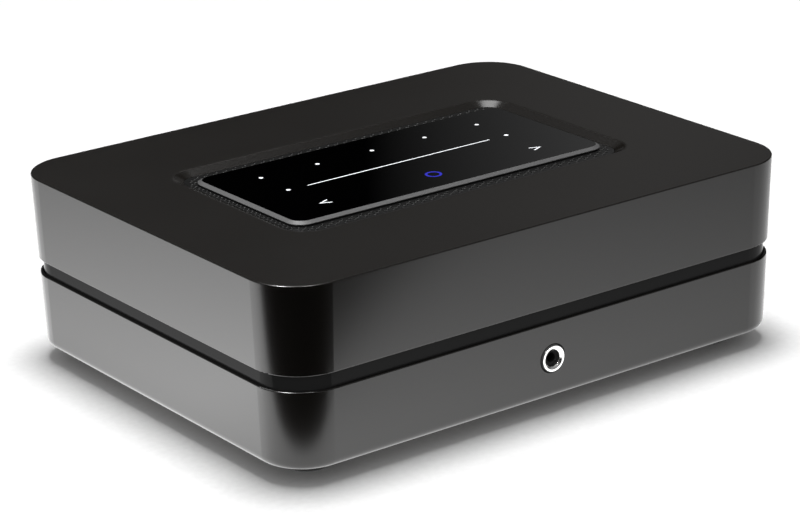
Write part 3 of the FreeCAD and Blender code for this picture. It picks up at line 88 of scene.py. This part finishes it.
def noise(tree, vector, scale, detail=2.0, roughness=0.5):
    """The value of a noise texture, from 0 to 1."""
    node = put(tree, "TexNoise", Vector=vector, Scale=scale, Detail=detail, Roughness=roughness)
    return node.outputs["Fac"]


def multiply_colours(tree, first, second):
    """The product of two colours, each a value or a socket."""
    node = put(tree, "Mix", settings={"data_type": "RGBA", "blend_type": "MULTIPLY"})
    sockets = {socket.identifier: socket for socket in node.inputs}
    sockets["Factor_Float"].default_value = 1.0
    for socket, value in ((sockets["A_Color"], first), (sockets["B_Color"], second)):
        if isinstance(value, bpy.types.NodeSocket):
            tree.links.new(value, socket)
        else:
            socket.default_value = value
    return next(socket for socket in node.outputs if socket.identifier == "Result_Color")


def shader_group(name, inputs, outputs):
    """An empty node group with named inputs and outputs, and the sockets to wire in it."""
    group = bpy.data.node_groups.new(name, "ShaderNodeTree")
    for word, kind, start in inputs:
        socket = group.interface.new_socket(word, in_out="INPUT", socket_type="NodeSocket" + kind)
        socket.default_value = start
    for word, kind in outputs:
        group.interface.new_socket(word, in_out="OUTPUT", socket_type="NodeSocket" + kind)
    entry = group.nodes.new("NodeGroupInput").outputs
    result = group.nodes.new("NodeGroupOutput").inputs
    return group, entry, result


def pale_shade(tree, level):
    """A grey of the given level."""
    return put(tree, "CombineColor", (level, level, level)).outputs[0]


def object_place(tree):
    """Where the shaded point lies on its own object, in metres."""
    return put(tree, "TexCoord").outputs["Object"]


GRAIN_SHARE = 0.35                  # how much of a finish's unevenness is its fine grain


def make_grain_group():
    """Fine grain over broad, faint patches: paint, moulding, anodising, rubber."""
    group, given, result = shader_group(
        "surface_grain",
        [("Colour", "Color", (0.1, 0.1, 0.1, 1)), ("Colour spread", "Float", 0.1),
         ("Roughness", "Float", 0.4), ("Roughness spread", "Float", 0.05),
         ("Grain scale", "Float", 3000.0), ("Patch scale", "Float", 25.0)],
        [("Colour", "Color"), ("Roughness", "Float"), ("Height", "Float")])
    place = object_place(group)
    grain = noise(group, place, given["Grain scale"], 3.0, 0.6)
    patch = noise(group, place, given["Patch scale"], 4.0, 0.55)
    both = sums(group, "ADD", sums(group, "MULTIPLY", grain, GRAIN_SHARE),
                sums(group, "MULTIPLY", patch, 1 - GRAIN_SHARE))
    offset = sums(group, "SUBTRACT", both, 0.5)
    bright = sums(group, "MULTIPLY_ADD", offset, given["Colour spread"], 1.0)
    tinted = multiply_colours(group, given["Colour"], pale_shade(group, bright))
    group.links.new(tinted, result["Colour"])
    rough = sums(group, "MULTIPLY_ADD", offset, given["Roughness spread"], given["Roughness"])
    group.links.new(rough, result["Roughness"])
    group.links.new(grain, result["Height"])
    return group


def make_brush_group():
    """Fine lines drawn along one axis: brushed or turned metal, drawn film."""
    group, given, result = shader_group(
        "brushed_lines",
        [("Colour", "Color", (0.5, 0.5, 0.5, 1)), ("Colour spread", "Float", 0.2),
         ("Roughness", "Float", 0.3), ("Roughness spread", "Float", 0.15),
         ("Across", "Vector", (1.0, 1.0, 1.0)), ("Line scale", "Float", 900.0)],
        [("Colour", "Color"), ("Roughness", "Float"), ("Height", "Float")])
    place = object_place(group)
    drawn = put(group, "VectorMath", (place, given["Across"]), {"operation": "MULTIPLY"}).outputs[0]
    lines = noise(group, drawn, given["Line scale"], 3.0, 0.65)
    offset = sums(group, "SUBTRACT", lines, 0.5)
    bright = sums(group, "MULTIPLY_ADD", offset, given["Colour spread"], 1.0)
    tinted = multiply_colours(group, given["Colour"], pale_shade(group, bright))
    group.links.new(tinted, result["Colour"])
    rough = sums(group, "MULTIPLY_ADD", offset, given["Roughness spread"], given["Roughness"])
    group.links.new(rough, result["Roughness"])
    group.links.new(lines, result["Height"])
    return group


grain_group = make_grain_group()
brush_group = make_brush_group()


def new_material(name):
    """A material with its tree and its shader."""
    material = bpy.data.materials.new(name)
    material.use_nodes = True
    tree = material.node_tree
    return material, tree, tree.nodes["Principled BSDF"]


def colour(red, green, blue):
    """An opaque colour in linear light."""
    return (red, green, blue, 1.0)


def grained(name, tint, roughness, scale=3000.0, bump=0.02, spread=0.12, rough_spread=0.08,
            patch=25.0, metal=0.0, coat=0.0, specular=0.5):
    """A painted, moulded or plated finish with grain at its own scale."""
    material, tree, shader = new_material(name)
    grain = put(tree, "Group", settings={"node_tree": grain_group}, Colour=tint,
                Colour_spread=spread, Roughness=roughness, Roughness_spread=rough_spread,
                Grain_scale=scale, Patch_scale=patch)
    finish_shader(tree, shader, grain, bump, metal, coat)
    shader.inputs["Specular IOR Level"].default_value = specular
    return material


def brushed(name, tint, roughness, across, scale=900.0, bump=0.01, spread=0.2,
            rough_spread=0.12, metal=1.0):
    """A metal finish with lines drawn one way."""
    material, tree, shader = new_material(name)
    lines = put(tree, "Group", settings={"node_tree": brush_group}, Colour=tint,
                Colour_spread=spread, Roughness=roughness, Roughness_spread=rough_spread,
                Across=across, Line_scale=scale)
    finish_shader(tree, shader, lines, bump, metal, 0.0)
    return material


BUMP_DEPTH = 0.1 * MM


def finish_shader(tree, shader, effect, bump, metal, coat):
    """Wires a shared effect to a material's shader."""
    links = tree.links
    links.new(effect.outputs["Colour"], shader.inputs["Base Color"])
    links.new(effect.outputs["Roughness"], shader.inputs["Roughness"])
    relief = put(tree, "Bump", Strength=bump, Distance=BUMP_DEPTH, Height=effect.outputs["Height"])
    links.new(relief.outputs["Normal"], shader.inputs["Normal"])
    shader.inputs["Metallic"].default_value = metal
    shader.inputs["Coat Weight"].default_value = coat


def lit(name, tint, strength, scale=2500.0):
    """A light guide or lamp that glows, a little unevenly."""
    material = grained(name, tint, 0.35, scale=scale, bump=0.0)
    tree = material.node_tree
    shader = tree.nodes["Principled BSDF"]
    glow = noise(tree, object_place(tree), 900.0)
    level = remap(tree, glow, 0.3, 0.7, 0.85, 1.0)
    glowing = multiply_colours(tree, tint, pale_shade(tree, level))
    tree.links.new(glowing, shader.inputs["Emission Color"])
    shader.inputs["Emission Strength"].default_value = strength
    return material


# Brushed lines run along the axis that the noise is stretched on.
LINES_X = (0.02, 1.0, 1.0)
LINES_Y = (1.0, 0.02, 1.0)
LINES_Z = (1.0, 1.0, 0.02)
TURNED_RING = (1.0, 0.3, 1.0)
TURNED_BARREL = (1.0, 0.25, 1.0)

SATIN_WALL = 0.24
MATTE_TOP = 0.35

finishes = {
    "shell_satin": grained("shell_satin", colour(0.0052, 0.0041, 0.0030), SATIN_WALL, 2600, 0.03, 0.14,
                           0.05),
    "band_satin": grained("band_satin", colour(0.034, 0.034, 0.034), 0.08, 3200, 0.01, 0.1, 0.04,
                          specular=0.03),
    "foot_rubber": grained("foot_rubber", colour(0.018, 0.018, 0.018), 0.85, 1400, 0.25, 0.3, 0.1),
    "zinc_steel": brushed("zinc_steel", colour(0.52, 0.52, 0.50), 0.34, LINES_Z),
    "black_steel": grained("black_steel", colour(0.022, 0.021, 0.020), 0.42, 1800, 0.08, metal=0.5),
    "grille_black": grained("grille_black", colour(0.006, 0.006, 0.006), 0.34, 2200, 0.05, specular=0.4),
    "moulded_black": grained("moulded_black", colour(0.014, 0.014, 0.014), 0.48, 1500, 0.12, 0.2),
    "bezel_grey": grained("bezel_grey", colour(0.080, 0.080, 0.081), 0.48, 2600, 0.02, 0.1,
                          specular=0.8),
    "panel_glass": grained("panel_glass", colour(0.0004, 0.0004, 0.00045), 0.03, 4000, 0.0, 0.1, 0.02),
    "board_green": grained("board_green", colour(0.012, 0.075, 0.028), 0.40, 1500, 0.06, 0.35, patch=140),
    "light_guide": lit("light_guide", colour(0.02, 0.03, 0.9), 4.0),
    "lamp_white": lit("lamp_white", colour(0.8, 0.82, 0.85), 0.0),
    "ribbon_film": brushed("ribbon_film", colour(0.32, 0.13, 0.04), 0.28, LINES_Y, metal=0.0),
    "moulded_cream": grained("moulded_cream", colour(0.56, 0.51, 0.42), 0.46, 1500, 0.10, 0.12),
    "ring_chrome": brushed("ring_chrome", colour(0.86, 0.86, 0.85), 0.20, TURNED_RING, 700, 0.004, 0.06,
                           0.06),
    "rear_black": grained("rear_black", colour(0.013, 0.013, 0.013), 0.44, 1900, 0.18, 0.2),
    "pin_nickel": brushed("pin_nickel", colour(0.60, 0.58, 0.54), 0.24, LINES_Y),
    "can_steel": brushed("can_steel", colour(0.55, 0.55, 0.54), 0.30, LINES_X),
    "contact_gold": brushed("contact_gold", colour(0.80, 0.55, 0.20), 0.20, TURNED_BARREL, 800, 0.006,
                            0.1),
    "moulded_purple": grained("moulded_purple", colour(0.12, 0.03, 0.15), 0.45, 1500, 0.10),
    "pillar_brass": brushed("pillar_brass", colour(0.62, 0.45, 0.18), 0.30, LINES_Z),
    "core_ferrite": grained("core_ferrite", colour(0.035, 0.034, 0.036), 0.62, 900, 0.30, 0.4),
    "winding_tape": grained("winding_tape", colour(0.62, 0.44, 0.06), 0.34, 1200, 0.06, 0.2),
    "winding_copper": brushed("winding_copper", colour(0.72, 0.28, 0.10), 0.28, LINES_Y, 1400),
    "capacitor_blue": grained("capacitor_blue", colour(0.02, 0.09, 0.32), 0.36, 1500, 0.05),
    "capacitor_sleeve": grained("capacitor_sleeve", colour(0.010, 0.012, 0.020), 0.30, 1600, 0.03),
    "fuse_ceramic": grained("fuse_ceramic", colour(0.70, 0.68, 0.62), 0.38, 1500, 0.04),
    "chip_black": grained("chip_black", colour(0.016, 0.016, 0.017), 0.55, 1600, 0.10),
    "sink_aluminium": brushed("sink_aluminium", colour(0.62, 0.63, 0.64), 0.32, LINES_Y),
    "lead_red": grained("lead_red", colour(0.42, 0.012, 0.010), 0.38, 1500, 0.03),
    "nut_red": grained("nut_red", colour(0.36, 0.008, 0.008), 0.22, 2200, 0.02, coat=0.3),
    "nut_black": grained("nut_black", colour(0.010, 0.010, 0.010), 0.22, 2200, 0.02, coat=0.3),
}


def make_top_matte(material):
    """The same paint lies duller on the top and in its recess than on the walls."""
    tree = material.node_tree
    shader = tree.nodes["Principled BSDF"]
    satin = shader.inputs["Roughness"].links[0].from_socket
    facing = put(tree, "SeparateXYZ", (put(tree, "TexCoord").outputs["Normal"],)).outputs["Z"]
    flat = remap(tree, facing, 0.93, 0.985, 0.0, 1.0)
    extra = sums(tree, "MULTIPLY", flat, MATTE_TOP - SATIN_WALL)
    tree.links.new(sums(tree, "ADD", satin, extra), shader.inputs["Roughness"])


make_top_matte(finishes["shell_satin"])

# Two pieces look unlike the rest of their material. The headphone socket is a darker, duller copy of the
# moulded black: painted shade inside the ring's mouth.
own_finishes = {
    # Painted shade: the socket is darker than moulded black, for the shade inside the ring.
    "headphone_socket": grained("socket_painted_shade", colour(0.004, 0.004, 0.004), 0.75, 1500, 0.10,
                                specular=0.2),
    "panel_ribbon": grained("ribbon_black", colour(0.010, 0.010, 0.010), 0.45, 1500, 0.05),
}

for part in frame["record"]["subparts"]:
    item = NODES[part["node"]]
    item.data.materials.clear()
    item.data.materials.append(own_finishes.get(part["node"]) or finishes[part["material_slot"]])


# Pieces

AXIS_X, AXIS_Y, AXIS_Z = (Vector(axis) for axis in ((1, 0, 0), (0, 1, 0), (0, 0, 1)))
MERGE_REACH = 0.0005 * MM


def make_piece(name, form, body, finish, sharp=35.0):
    """Turns a bmesh into a finished object that rides on its body."""
    bmesh.ops.remove_doubles(form, verts=form.verts, dist=MERGE_REACH)
    bmesh.ops.recalc_face_normals(form, faces=form.faces)
    mesh = bpy.data.meshes.new(name)
    form.to_mesh(mesh)
    form.free()
    mesh.shade_smooth()
    mesh.set_sharp_from_angle(angle=math.radians(sharp))
    mesh.materials.append(finish)
    piece = bpy.data.objects.new(name, mesh)
    bpy.context.scene.collection.objects.link(piece)
    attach(piece, body)
    return piece


def draw_section(form, section, centre, axis):
    """A closed section of points (radius, place along the axis) in mm, with its edges."""
    ring = [form.verts.new(centre + AXIS_X * radius * MM + axis * along * MM)
            for radius, along in section]
    return ring, [form.edges.new(pair) for pair in zip(ring, ring[1:] + ring[:1])]


def turn_section(form, section, centre, axis, steps=64, corner=0.0):
    """Turns a closed section on a lathe, with its corners rounded first if asked."""
    centre = Vector(centre)
    ring, edges = draw_section(form, section, centre, axis)
    if corner:
        rounded = bmesh.ops.bevel(form, geom=ring, offset=corner * MM, segments=4, profile=0.5,
                                  affect="VERTICES", material=-1)
        ring = list({v for v in ring if v.is_valid} | set(rounded["verts"]))
        edges = list({e for v in ring for e in v.link_edges})
    bmesh.ops.spin(form, geom=ring + edges, cent=centre, axis=axis, angle=math.tau, steps=steps,
                   use_merge=True)


def raise_faces(form, faces, height):
    """Gives flat faces a thickness upwards."""
    grown = bmesh.ops.extrude_face_region(form, geom=faces, use_keep_orig=True)
    tops = [v for v in grown["geom"] if isinstance(v, bmesh.types.BMVert)]
    bmesh.ops.translate(form, verts=tops, vec=AXIS_Z * height)


# The touch panel's lit marks stand a hair above the glass that carries them. Places in mm.
GLASS_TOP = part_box("touch_glass")[1][2]
MARK_SINK = 0.02 * MM
MARK_HEIGHT = 0.04 * MM
DOTS = [(x, 7.2) for x in (-48.6, -24.4, -0.4, 23.4, 47.6)] + [(-48.9, -10.0), (47.6, -10.0)]
DOT_RADIUS = 0.82
DOT_STEPS, LINE_END_STEPS = 28, 16
LINE_FROM, LINE_TO, LINE_Y, LINE_WIDTH = -41.0, 39.6, -10.3, 0.5
ARROW_Y = -29.0
ARROW = [(0, 0), (4.5, 1.9), (4.5, 1.35), (1.30, 0), (4.5, -1.35), (4.5, -1.9)]
ARROW_TIPS = {"left_arrow": (-49.5, 1), "right_arrow": (48.5, -1)}
RING_PLACE = (-0.3, -29.0)
RING_INNER, RING_OUTER = 2.15, 3.05

mark_white = lit("mark_white", colour(0.85, 0.87, 0.90), 0.62)
ring_blue = lit("ring_blue", colour(0.012, 0.013, 0.30), 0.8)


def make_dots():
    """Seven round marks: five over the slider line and one at each of its ends."""
    form = bmesh.new()
    for x, y in DOTS:
        at = Matrix.Translation((x * MM, y * MM, GLASS_TOP - MARK_SINK))
        bmesh.ops.create_circle(form, cap_ends=True, segments=DOT_STEPS, radius=DOT_RADIUS * MM, matrix=at)
    raise_faces(form, list(form.faces), MARK_HEIGHT)
    make_piece("panel_dots", form, "root", mark_white)


def make_slider_line():
    """One long mark with round ends."""
    form = bmesh.new()
    for x in (LINE_FROM + LINE_WIDTH / 2, LINE_TO - LINE_WIDTH / 2):
        at = Matrix.Translation((x * MM, LINE_Y * MM, GLASS_TOP - MARK_SINK))
        bmesh.ops.create_circle(form, segments=LINE_END_STEPS, radius=LINE_WIDTH / 2 * MM, matrix=at)
    bmesh.ops.convex_hull(form, input=form.verts)
    flat = bmesh.ops.dissolve_limit(form, angle_limit=0.01, verts=form.verts, edges=form.edges)
    raise_faces(form, list(flat["region"]) or list(form.faces), MARK_HEIGHT)
    make_piece("slider_line", form, "root", mark_white)


def make_arrow(name, tip, way):
    """An arrowhead of two strokes, which opens to the right if way is 1."""
    form = bmesh.new()
    corners = [form.verts.new(((tip + way * x) * MM, (ARROW_Y + y) * MM, GLASS_TOP - MARK_SINK))
               for x, y in ARROW]
    raise_faces(form, [form.faces.new(corners)], MARK_HEIGHT)
    make_piece(name, form, "root", mark_white)


def make_lit_ring():
    """The status light's ring."""
    form = bmesh.new()
    low, high = -MARK_SINK / MM, (MARK_HEIGHT - MARK_SINK) / MM
    section = [(RING_INNER, low), (RING_OUTER, low), (RING_OUTER, high), (RING_INNER, high)]
    turn_section(form, section, (RING_PLACE[0] * MM, RING_PLACE[1] * MM, GLASS_TOP), AXIS_Z)
    make_piece("lit_ring", form, "root", ring_blue)


make_dots()
make_slider_line()
for arrow, (tip, way) in ARROW_TIPS.items():
    make_arrow(arrow, tip, way)
make_lit_ring()

# The headphone socket's ring and the dark ring round it, painted shade for the gap, in mm from their axis
# and behind the ring's face.
MOUTH_RADIUS, DISH_RADIUS, DISH_DEPTH = 3.05, 3.85, 0.60
COLLAR_RADIUS, COLLAR_ROUND = 4.60, 0.07
SHADE_RING_INNER, SHADE_RING_OUTER, SHADE_RING_SET_BACK, SHADE_RING_ROUND = 4.58, 5.0, 0.18, 0.10


def make_headphone_ring():
    """A polished ring with a dished mouth, and round it a dark ring set back, painted shade for the gap
    round the ring.
    """
    low, high = (Vector(corner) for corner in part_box("headphone_ring"))
    centre = (low + high) / 2
    centre.y = 0
    face, seat = low.y / MM, high.y / MM
    shade_ring_face = face + SHADE_RING_SET_BACK
    collar = [(MOUTH_RADIUS, seat), (MOUTH_RADIUS, face + DISH_DEPTH), (DISH_RADIUS, face),
              (COLLAR_RADIUS, face), (COLLAR_RADIUS, seat)]
    # A dark ring set back round the collar: painted shade for the shadow in the gap.
    shade_ring = [(SHADE_RING_INNER, shade_ring_face), (SHADE_RING_OUTER, shade_ring_face), (SHADE_RING_OUTER, seat),
              (SHADE_RING_INNER, seat)]
    for name, section, corner, slot in (("headphone_collar", collar, COLLAR_ROUND, "ring_chrome"),
                                        ("collar_shade_ring", shade_ring, SHADE_RING_ROUND, "foot_rubber")):
        form = bmesh.new()
        turn_section(form, section, centre, AXIS_Y, steps=96, corner=corner)
        piece = make_piece(name, form, "root", finishes[slot], 25)
        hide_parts("headphone_ring")


make_headphone_ring()

# The vent's holes, in mm: staggered columns between the sheet's edge and the panel's tray.
HOLE_PITCH = 2.34
HOLE_RADIUS = 0.625
HOLE_MARGIN = 0.65 + HOLE_RADIUS
SHEET_CORNER, TRAY_CORNER = 6.75, 5.4
COLUMNS_ASIDE, ROWS_ASIDE = 36, 18
RIM_SECTION = ((HOLE_RADIUS, -0.05), (HOLE_RADIUS + 0.08, 0.09), (HOLE_RADIUS + 0.24, -0.03))
RIM_STEPS = 12


def half_size(node):
    """Half a node's width and length in mm."""
    low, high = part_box(node)
    return (high[0] - low[0]) / 2 / MM, (high[1] - low[1]) / 2 / MM


def inside_outline(x, y, half, radius):
    """Whether a point lies in a rectangle with round corners, all in mm."""
    over_x = max(abs(x) - (half[0] - radius), 0.0)
    over_y = max(abs(y) - (half[1] - radius), 0.0)
    return abs(x) <= half[0] and abs(y) <= half[1] and math.hypot(over_x, over_y) <= radius


def make_grille_rims():
    """Each hole of the vent is pressed through and keeps a fine raised lip."""
    low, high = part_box("vent_grille")
    middle_y = (low[1] + high[1]) / 2
    sheet = [side - HOLE_MARGIN for side in half_size("vent_grille")]
    tray = [side + HOLE_MARGIN for side in half_size("panel_tray")]
    column_pitch = HOLE_PITCH * math.sqrt(3) / 2
    form = bmesh.new()
    turn_section(form, RIM_SECTION, (0, 0, 0), AXIS_Z, steps=RIM_STEPS)
    rim = bpy.data.meshes.new("rim")
    form.to_mesh(rim)
    form.clear()
    for i in range(-COLUMNS_ASIDE, COLUMNS_ASIDE + 1):
        for j in range(-ROWS_ASIDE, ROWS_ASIDE + 1):
            x, y = i * column_pitch, (j + 0.5 * (i % 2)) * HOLE_PITCH
            if not inside_outline(x, y, sheet, SHEET_CORNER - HOLE_MARGIN):
                continue
            if inside_outline(x, y, tray, TRAY_CORNER + HOLE_MARGIN):
                continue
            known = len(form.verts)
            form.from_mesh(rim)
            form.verts.ensure_lookup_table()
            place = (x * MM, middle_y + y * MM, high[2])
            bmesh.ops.translate(form, verts=form.verts[known:], vec=place)
    bpy.data.meshes.remove(rim)
    make_piece("grille_rims", form, "root", finishes["grille_black"], 20)


make_grille_rims()

# The speaker posts and their thread, in mm.
POST_PLACES = (8, 27, 46, 65)
POST_HEIGHT = 46.0
THREAD_RADIUS, THREAD_DEPTH, THREAD_PITCH = 3.0, 0.06, 1.0
THREAD_WIDTH, THREAD_SINK = 0.70, 0.02
THREAD_FROM, THREAD_TO = 75.0, 92.6
STEPS_A_TURN = 24


def make_post_threads():
    """A fine raised helix on each post; the nut moves one pitch for each turn."""
    form = bmesh.new()
    length = THREAD_TO - THREAD_FROM
    turns = length / THREAD_PITCH
    steps = int(turns * STEPS_A_TURN)
    root = THREAD_RADIUS - THREAD_SINK
    section = [(root, THREAD_FROM), (THREAD_RADIUS + THREAD_DEPTH, THREAD_FROM + THREAD_WIDTH / 2),
               (root, THREAD_FROM + THREAD_WIDTH)]
    for x in POST_PLACES:
        centre = Vector((x, 0, POST_HEIGHT)) * MM
        ring, edges = draw_section(form, section, centre, AXIS_Y)
        wire = bmesh.ops.spin(form, geom=ring + edges, cent=centre, axis=AXIS_Y, steps=steps,
                              angle=math.tau * turns, dvec=AXIS_Y * length * MM / steps, use_merge=False)
        last = [v for v in wire["geom_last"] if isinstance(v, bmesh.types.BMVert)]
        form.faces.new(ring)
        form.faces.new(last)
    make_piece("post_threads", form, "root", finishes["contact_gold"], 20)


make_post_threads()


# Stage, light and camera

POOL_CENTRE = (-0.150, -0.010)      # the middle of the painted pool of light that the gloss sees on the table
POOL_FADE = 0.33
POOL_LEVEL = 3.66
BASE_MIDDLE = -0.010                # the strip round the foot of the casing where the table's mirror image has painted shade
BASE_HALF = (0.100, 0.075)
SHADE_REACH = 0.010
SHADE_DEPTH = 0.45
TABLE_EDGE = -0.160                 # the lit table ends here, towards the camera
EDGE_SOFTNESS = 0.004
EDGE_TURN = math.radians(36.44)
TABLE_SIZE = 6.0
TABLE_DARK, TABLE_PALE = 0.88, 0.92


def flat_length(tree, first, second):
    """The length of a flat vector from its two parts."""
    return sums(tree, "SQRT", sums(tree, "ADD", sums(tree, "MULTIPLY", first, first),
                                   sums(tree, "MULTIPLY", second, second)))


def mirrored_glow(tree, across, along):
    """How bright the table is in a mirror, painted: a fading pool of painted light, cut at an edge, with
    painted shade by the casing.
    """
    reach = flat_length(tree, sums(tree, "SUBTRACT", across, POOL_CENTRE[0]),
                          sums(tree, "SUBTRACT", along, POOL_CENTRE[1]))
    fade = sums(tree, "EXPONENT", sums(tree, "MULTIPLY", reach, -1 / POOL_FADE))
    depth = sums(tree, "ADD", sums(tree, "MULTIPLY", across, math.sin(EDGE_TURN)),
                 sums(tree, "MULTIPLY", along, math.cos(EDGE_TURN)))
    on_table = remap(tree, depth, TABLE_EDGE - EDGE_SOFTNESS, TABLE_EDGE + EDGE_SOFTNESS, 0.0, 1.0,
                     True)
    out_x = sums(tree, "SUBTRACT", sums(tree, "ABSOLUTE", across), BASE_HALF[0])
    out_y = sums(tree, "SUBTRACT", sums(tree, "ABSOLUTE", sums(tree, "SUBTRACT", along, BASE_MIDDLE)),
                 BASE_HALF[1])
    apart = flat_length(tree, *(sums(tree, "MAXIMUM", out, 0.0) for out in (out_x, out_y)))
    # Painted shadow: the glow is darkened near the casing's footprint.
    painted_casing_shade = sums(tree, "EXPONENT", sums(tree, "MULTIPLY", apart, -1 / SHADE_REACH))
    shaded = sums(tree, "MULTIPLY_ADD", painted_casing_shade, -SHADE_DEPTH, 1.0)
    glow = sums(tree, "MULTIPLY", sums(tree, "MULTIPLY", fade, on_table), POOL_LEVEL)
    return sums(tree, "MULTIPLY", glow, shaded)


def make_floor():
    """A pale table, whose mirror image in the shells is a painted reflection: a glowing pool brighter than
    the table itself.
    """
    mesh = bpy.data.meshes.new("floor")
    form = bmesh.new()
    bmesh.ops.create_grid(form, x_segments=1, y_segments=1, size=TABLE_SIZE)
    form.to_mesh(mesh)
    form.free()
    floor = bpy.data.objects.new("floor", mesh)
    bpy.context.scene.collection.objects.link(floor)
    floor.visible_diffuse = False
    material, tree, shader = new_material("pale_table")
    speckle = noise(tree, object_place(tree), 400.0)
    level = remap(tree, speckle, 0.3, 0.7, TABLE_DARK, TABLE_PALE)
    tree.links.new(pale_shade(tree, level), shader.inputs["Base Color"])
    shader.inputs["Roughness"].default_value = 1.0
    shader.inputs["Specular IOR Level"].default_value = 0.0
    across, along, _ = put(tree, "SeparateXYZ", (object_place(tree),)).outputs
    # Painted reflection: the gloss sees this painted glow, not the lit table.
    mirror = put(tree, "Emission", Strength=mirrored_glow(tree, across, along))
    path = put(tree, "LightPath")
    both = put(tree, "MixShader", (path.outputs["Is Glossy Ray"], shader.outputs[0], mirror.outputs[0]))
    tree.links.new(both.outputs[0], tree.nodes["Material Output"].inputs["Surface"])
    material.cycles.emission_sampling = "NONE"
    mesh.materials.append(material)


# What the gloss mirrors besides the table: direction, inner and outer angle, strength.
GLOSS_CARDS = [
    (Vector((-0.80, 0.20, 0.45)).normalized(), 35, 62, 0.36),     # white wall on the left
    (Vector((0.45, -0.75, 0.50)).normalized(), 25, 55, 0.24),     # white wall behind the camera
    (Vector((0.56, 0.22, 0.80)).normalized(), 8, 22, 0.14),       # ceiling on the right
    (Vector((0.09, 0.76, 0.65)).normalized(), 8, 20, 0.14),       # ceiling at the back
    (Vector((0.41, 0.90, 0.05)).normalized(), 4, 9, 0.22),        # far floor, seen in a corner's slope
    (Vector((0.78, 0.54, 0.32)).normalized(), 5, 11, 0.16),       # far wall on the right
]
# The pale card that the touch glass mirrors: where it starts and ends, round from +Y.
CARD_START, CARD_FULL, CARD_FADE, CARD_END = (math.radians(a) for a in (35.8, 43.5, 43, 46))
CARD_LEVEL = 0.27
CARD_LOW, CARD_HIGH = 0.38, 0.46    # it fades out between these heights on the unit sphere
FILL_LOW, FILL_HIGH = 0.31, 0.38    # the even light on matt surfaces, near the table and overhead


def make_world():
    """White behind the object, dim above, with a paler card far behind to the right."""
    world = bpy.data.worlds.new("studio")
    bpy.context.scene.world = world
    world.use_nodes = True
    world.cycles.sampling_method = "NONE"
    tree = world.node_tree
    tree.nodes.clear()
    way = put(tree, "TexCoord").outputs["Generated"]
    east, north, up = put(tree, "SeparateXYZ", (way,)).outputs
    turn = sums(tree, "ARCTAN2", east, north)
    card = remap(tree, turn, CARD_START, CARD_FULL, 0.0, CARD_LEVEL)
    low = remap(tree, up, CARD_LOW, CARD_HIGH, 1.0, 0.0, True)
    end = remap(tree, turn, CARD_FADE, CARD_END, 1.0, 0.0)
    seen_in_gloss = sums(tree, "MULTIPLY", sums(tree, "MULTIPLY", card, end), low)
    for centre, inner, outer, strength in GLOSS_CARDS:
        toward = put(tree, "VectorMath", (way, centre), {"operation": "DOT_PRODUCT"}).outputs["Value"]
        patch = remap(tree, toward, math.cos(math.radians(outer)), math.cos(math.radians(inner)),
                      0.0, strength, True)
        seen_in_gloss = sums(tree, "ADD", seen_in_gloss, patch)
    fill = remap(tree, up, -0.05, 0.9, FILL_LOW, FILL_HIGH)
    path = put(tree, "LightPath")
    level = put(tree, "Mix", (path.outputs["Is Glossy Ray"], None, fill, seen_in_gloss)).outputs[0]
    level = put(tree, "Mix", (path.outputs["Is Camera Ray"], None, level, 1.0)).outputs[0]
    back = put(tree, "Background", Color=pale_shade(tree, level), Strength=1.0)
    out = put(tree, "OutputWorld")
    tree.links.new(back.outputs[0], out.inputs["Surface"])


def add_lamp(name, place, size, power):
    """A round lamp that faces the middle of the table."""
    lamp = bpy.data.lights.new(name, "AREA")
    lamp.shape = "DISK"
    lamp.size = size
    lamp.energy = power
    holder = bpy.data.objects.new(name, lamp)
    bpy.context.scene.collection.objects.link(holder)
    holder.location = place
    holder.rotation_euler = (-Vector(place)).to_track_quat("-Z", "Y").to_euler()
    return holder


def make_lamps():
    """One lamp lights the scene unseen by the gloss, and three are seen in the gloss alone."""
    add_lamp("key_overhead", (0.045, 0.06, 1.8), 0.62, 29).visible_glossy = False
    for name, place, size, power in (
            ("edge_light", (-0.90, -0.17, 1.32), 0.42, 84),       # the top's edge at the near corner
            ("back_light", (0.30, 0.57, 1.62), 0.75, 9),          # the recess's far corner
            ("front_light", (-0.18, -0.80, 1.38), 0.42, 14)):     # the edges of the front
        add_lamp(name, place, size, power).visible_diffuse = False


CAMERA_PLACE = (-0.586896, -0.802378, 0.386446)
CAMERA_YAW, CAMERA_PITCH, CAMERA_ROLL = (math.radians(a) for a in (-36.4444, -19.8199, 1.3610))
LENS = 131.32
SENSOR = 36.0


def make_camera():
    """The camera fitted to the photograph's edges."""
    data = bpy.data.cameras.new("camera")
    data.lens = LENS
    data.sensor_width = SENSOR
    data.clip_end = 30
    camera = bpy.data.objects.new("camera", data)
    bpy.context.scene.collection.objects.link(camera)
    turn = (Matrix.Rotation(CAMERA_YAW, 3, "Z") @ Matrix.Rotation(CAMERA_PITCH, 3, "X")
            @ Matrix.Rotation(CAMERA_ROLL, 3, "Y"))
    right, forward, above = turn.col
    axes = Matrix((right, above, -forward)).transposed()
    camera.matrix_world = Matrix.Translation(CAMERA_PLACE) @ axes.to_4x4()
    bpy.context.scene.camera = camera


bpy.context.scene.view_settings.view_transform = "Standard"
make_floor()
make_world()
make_lamps()
make_camera()
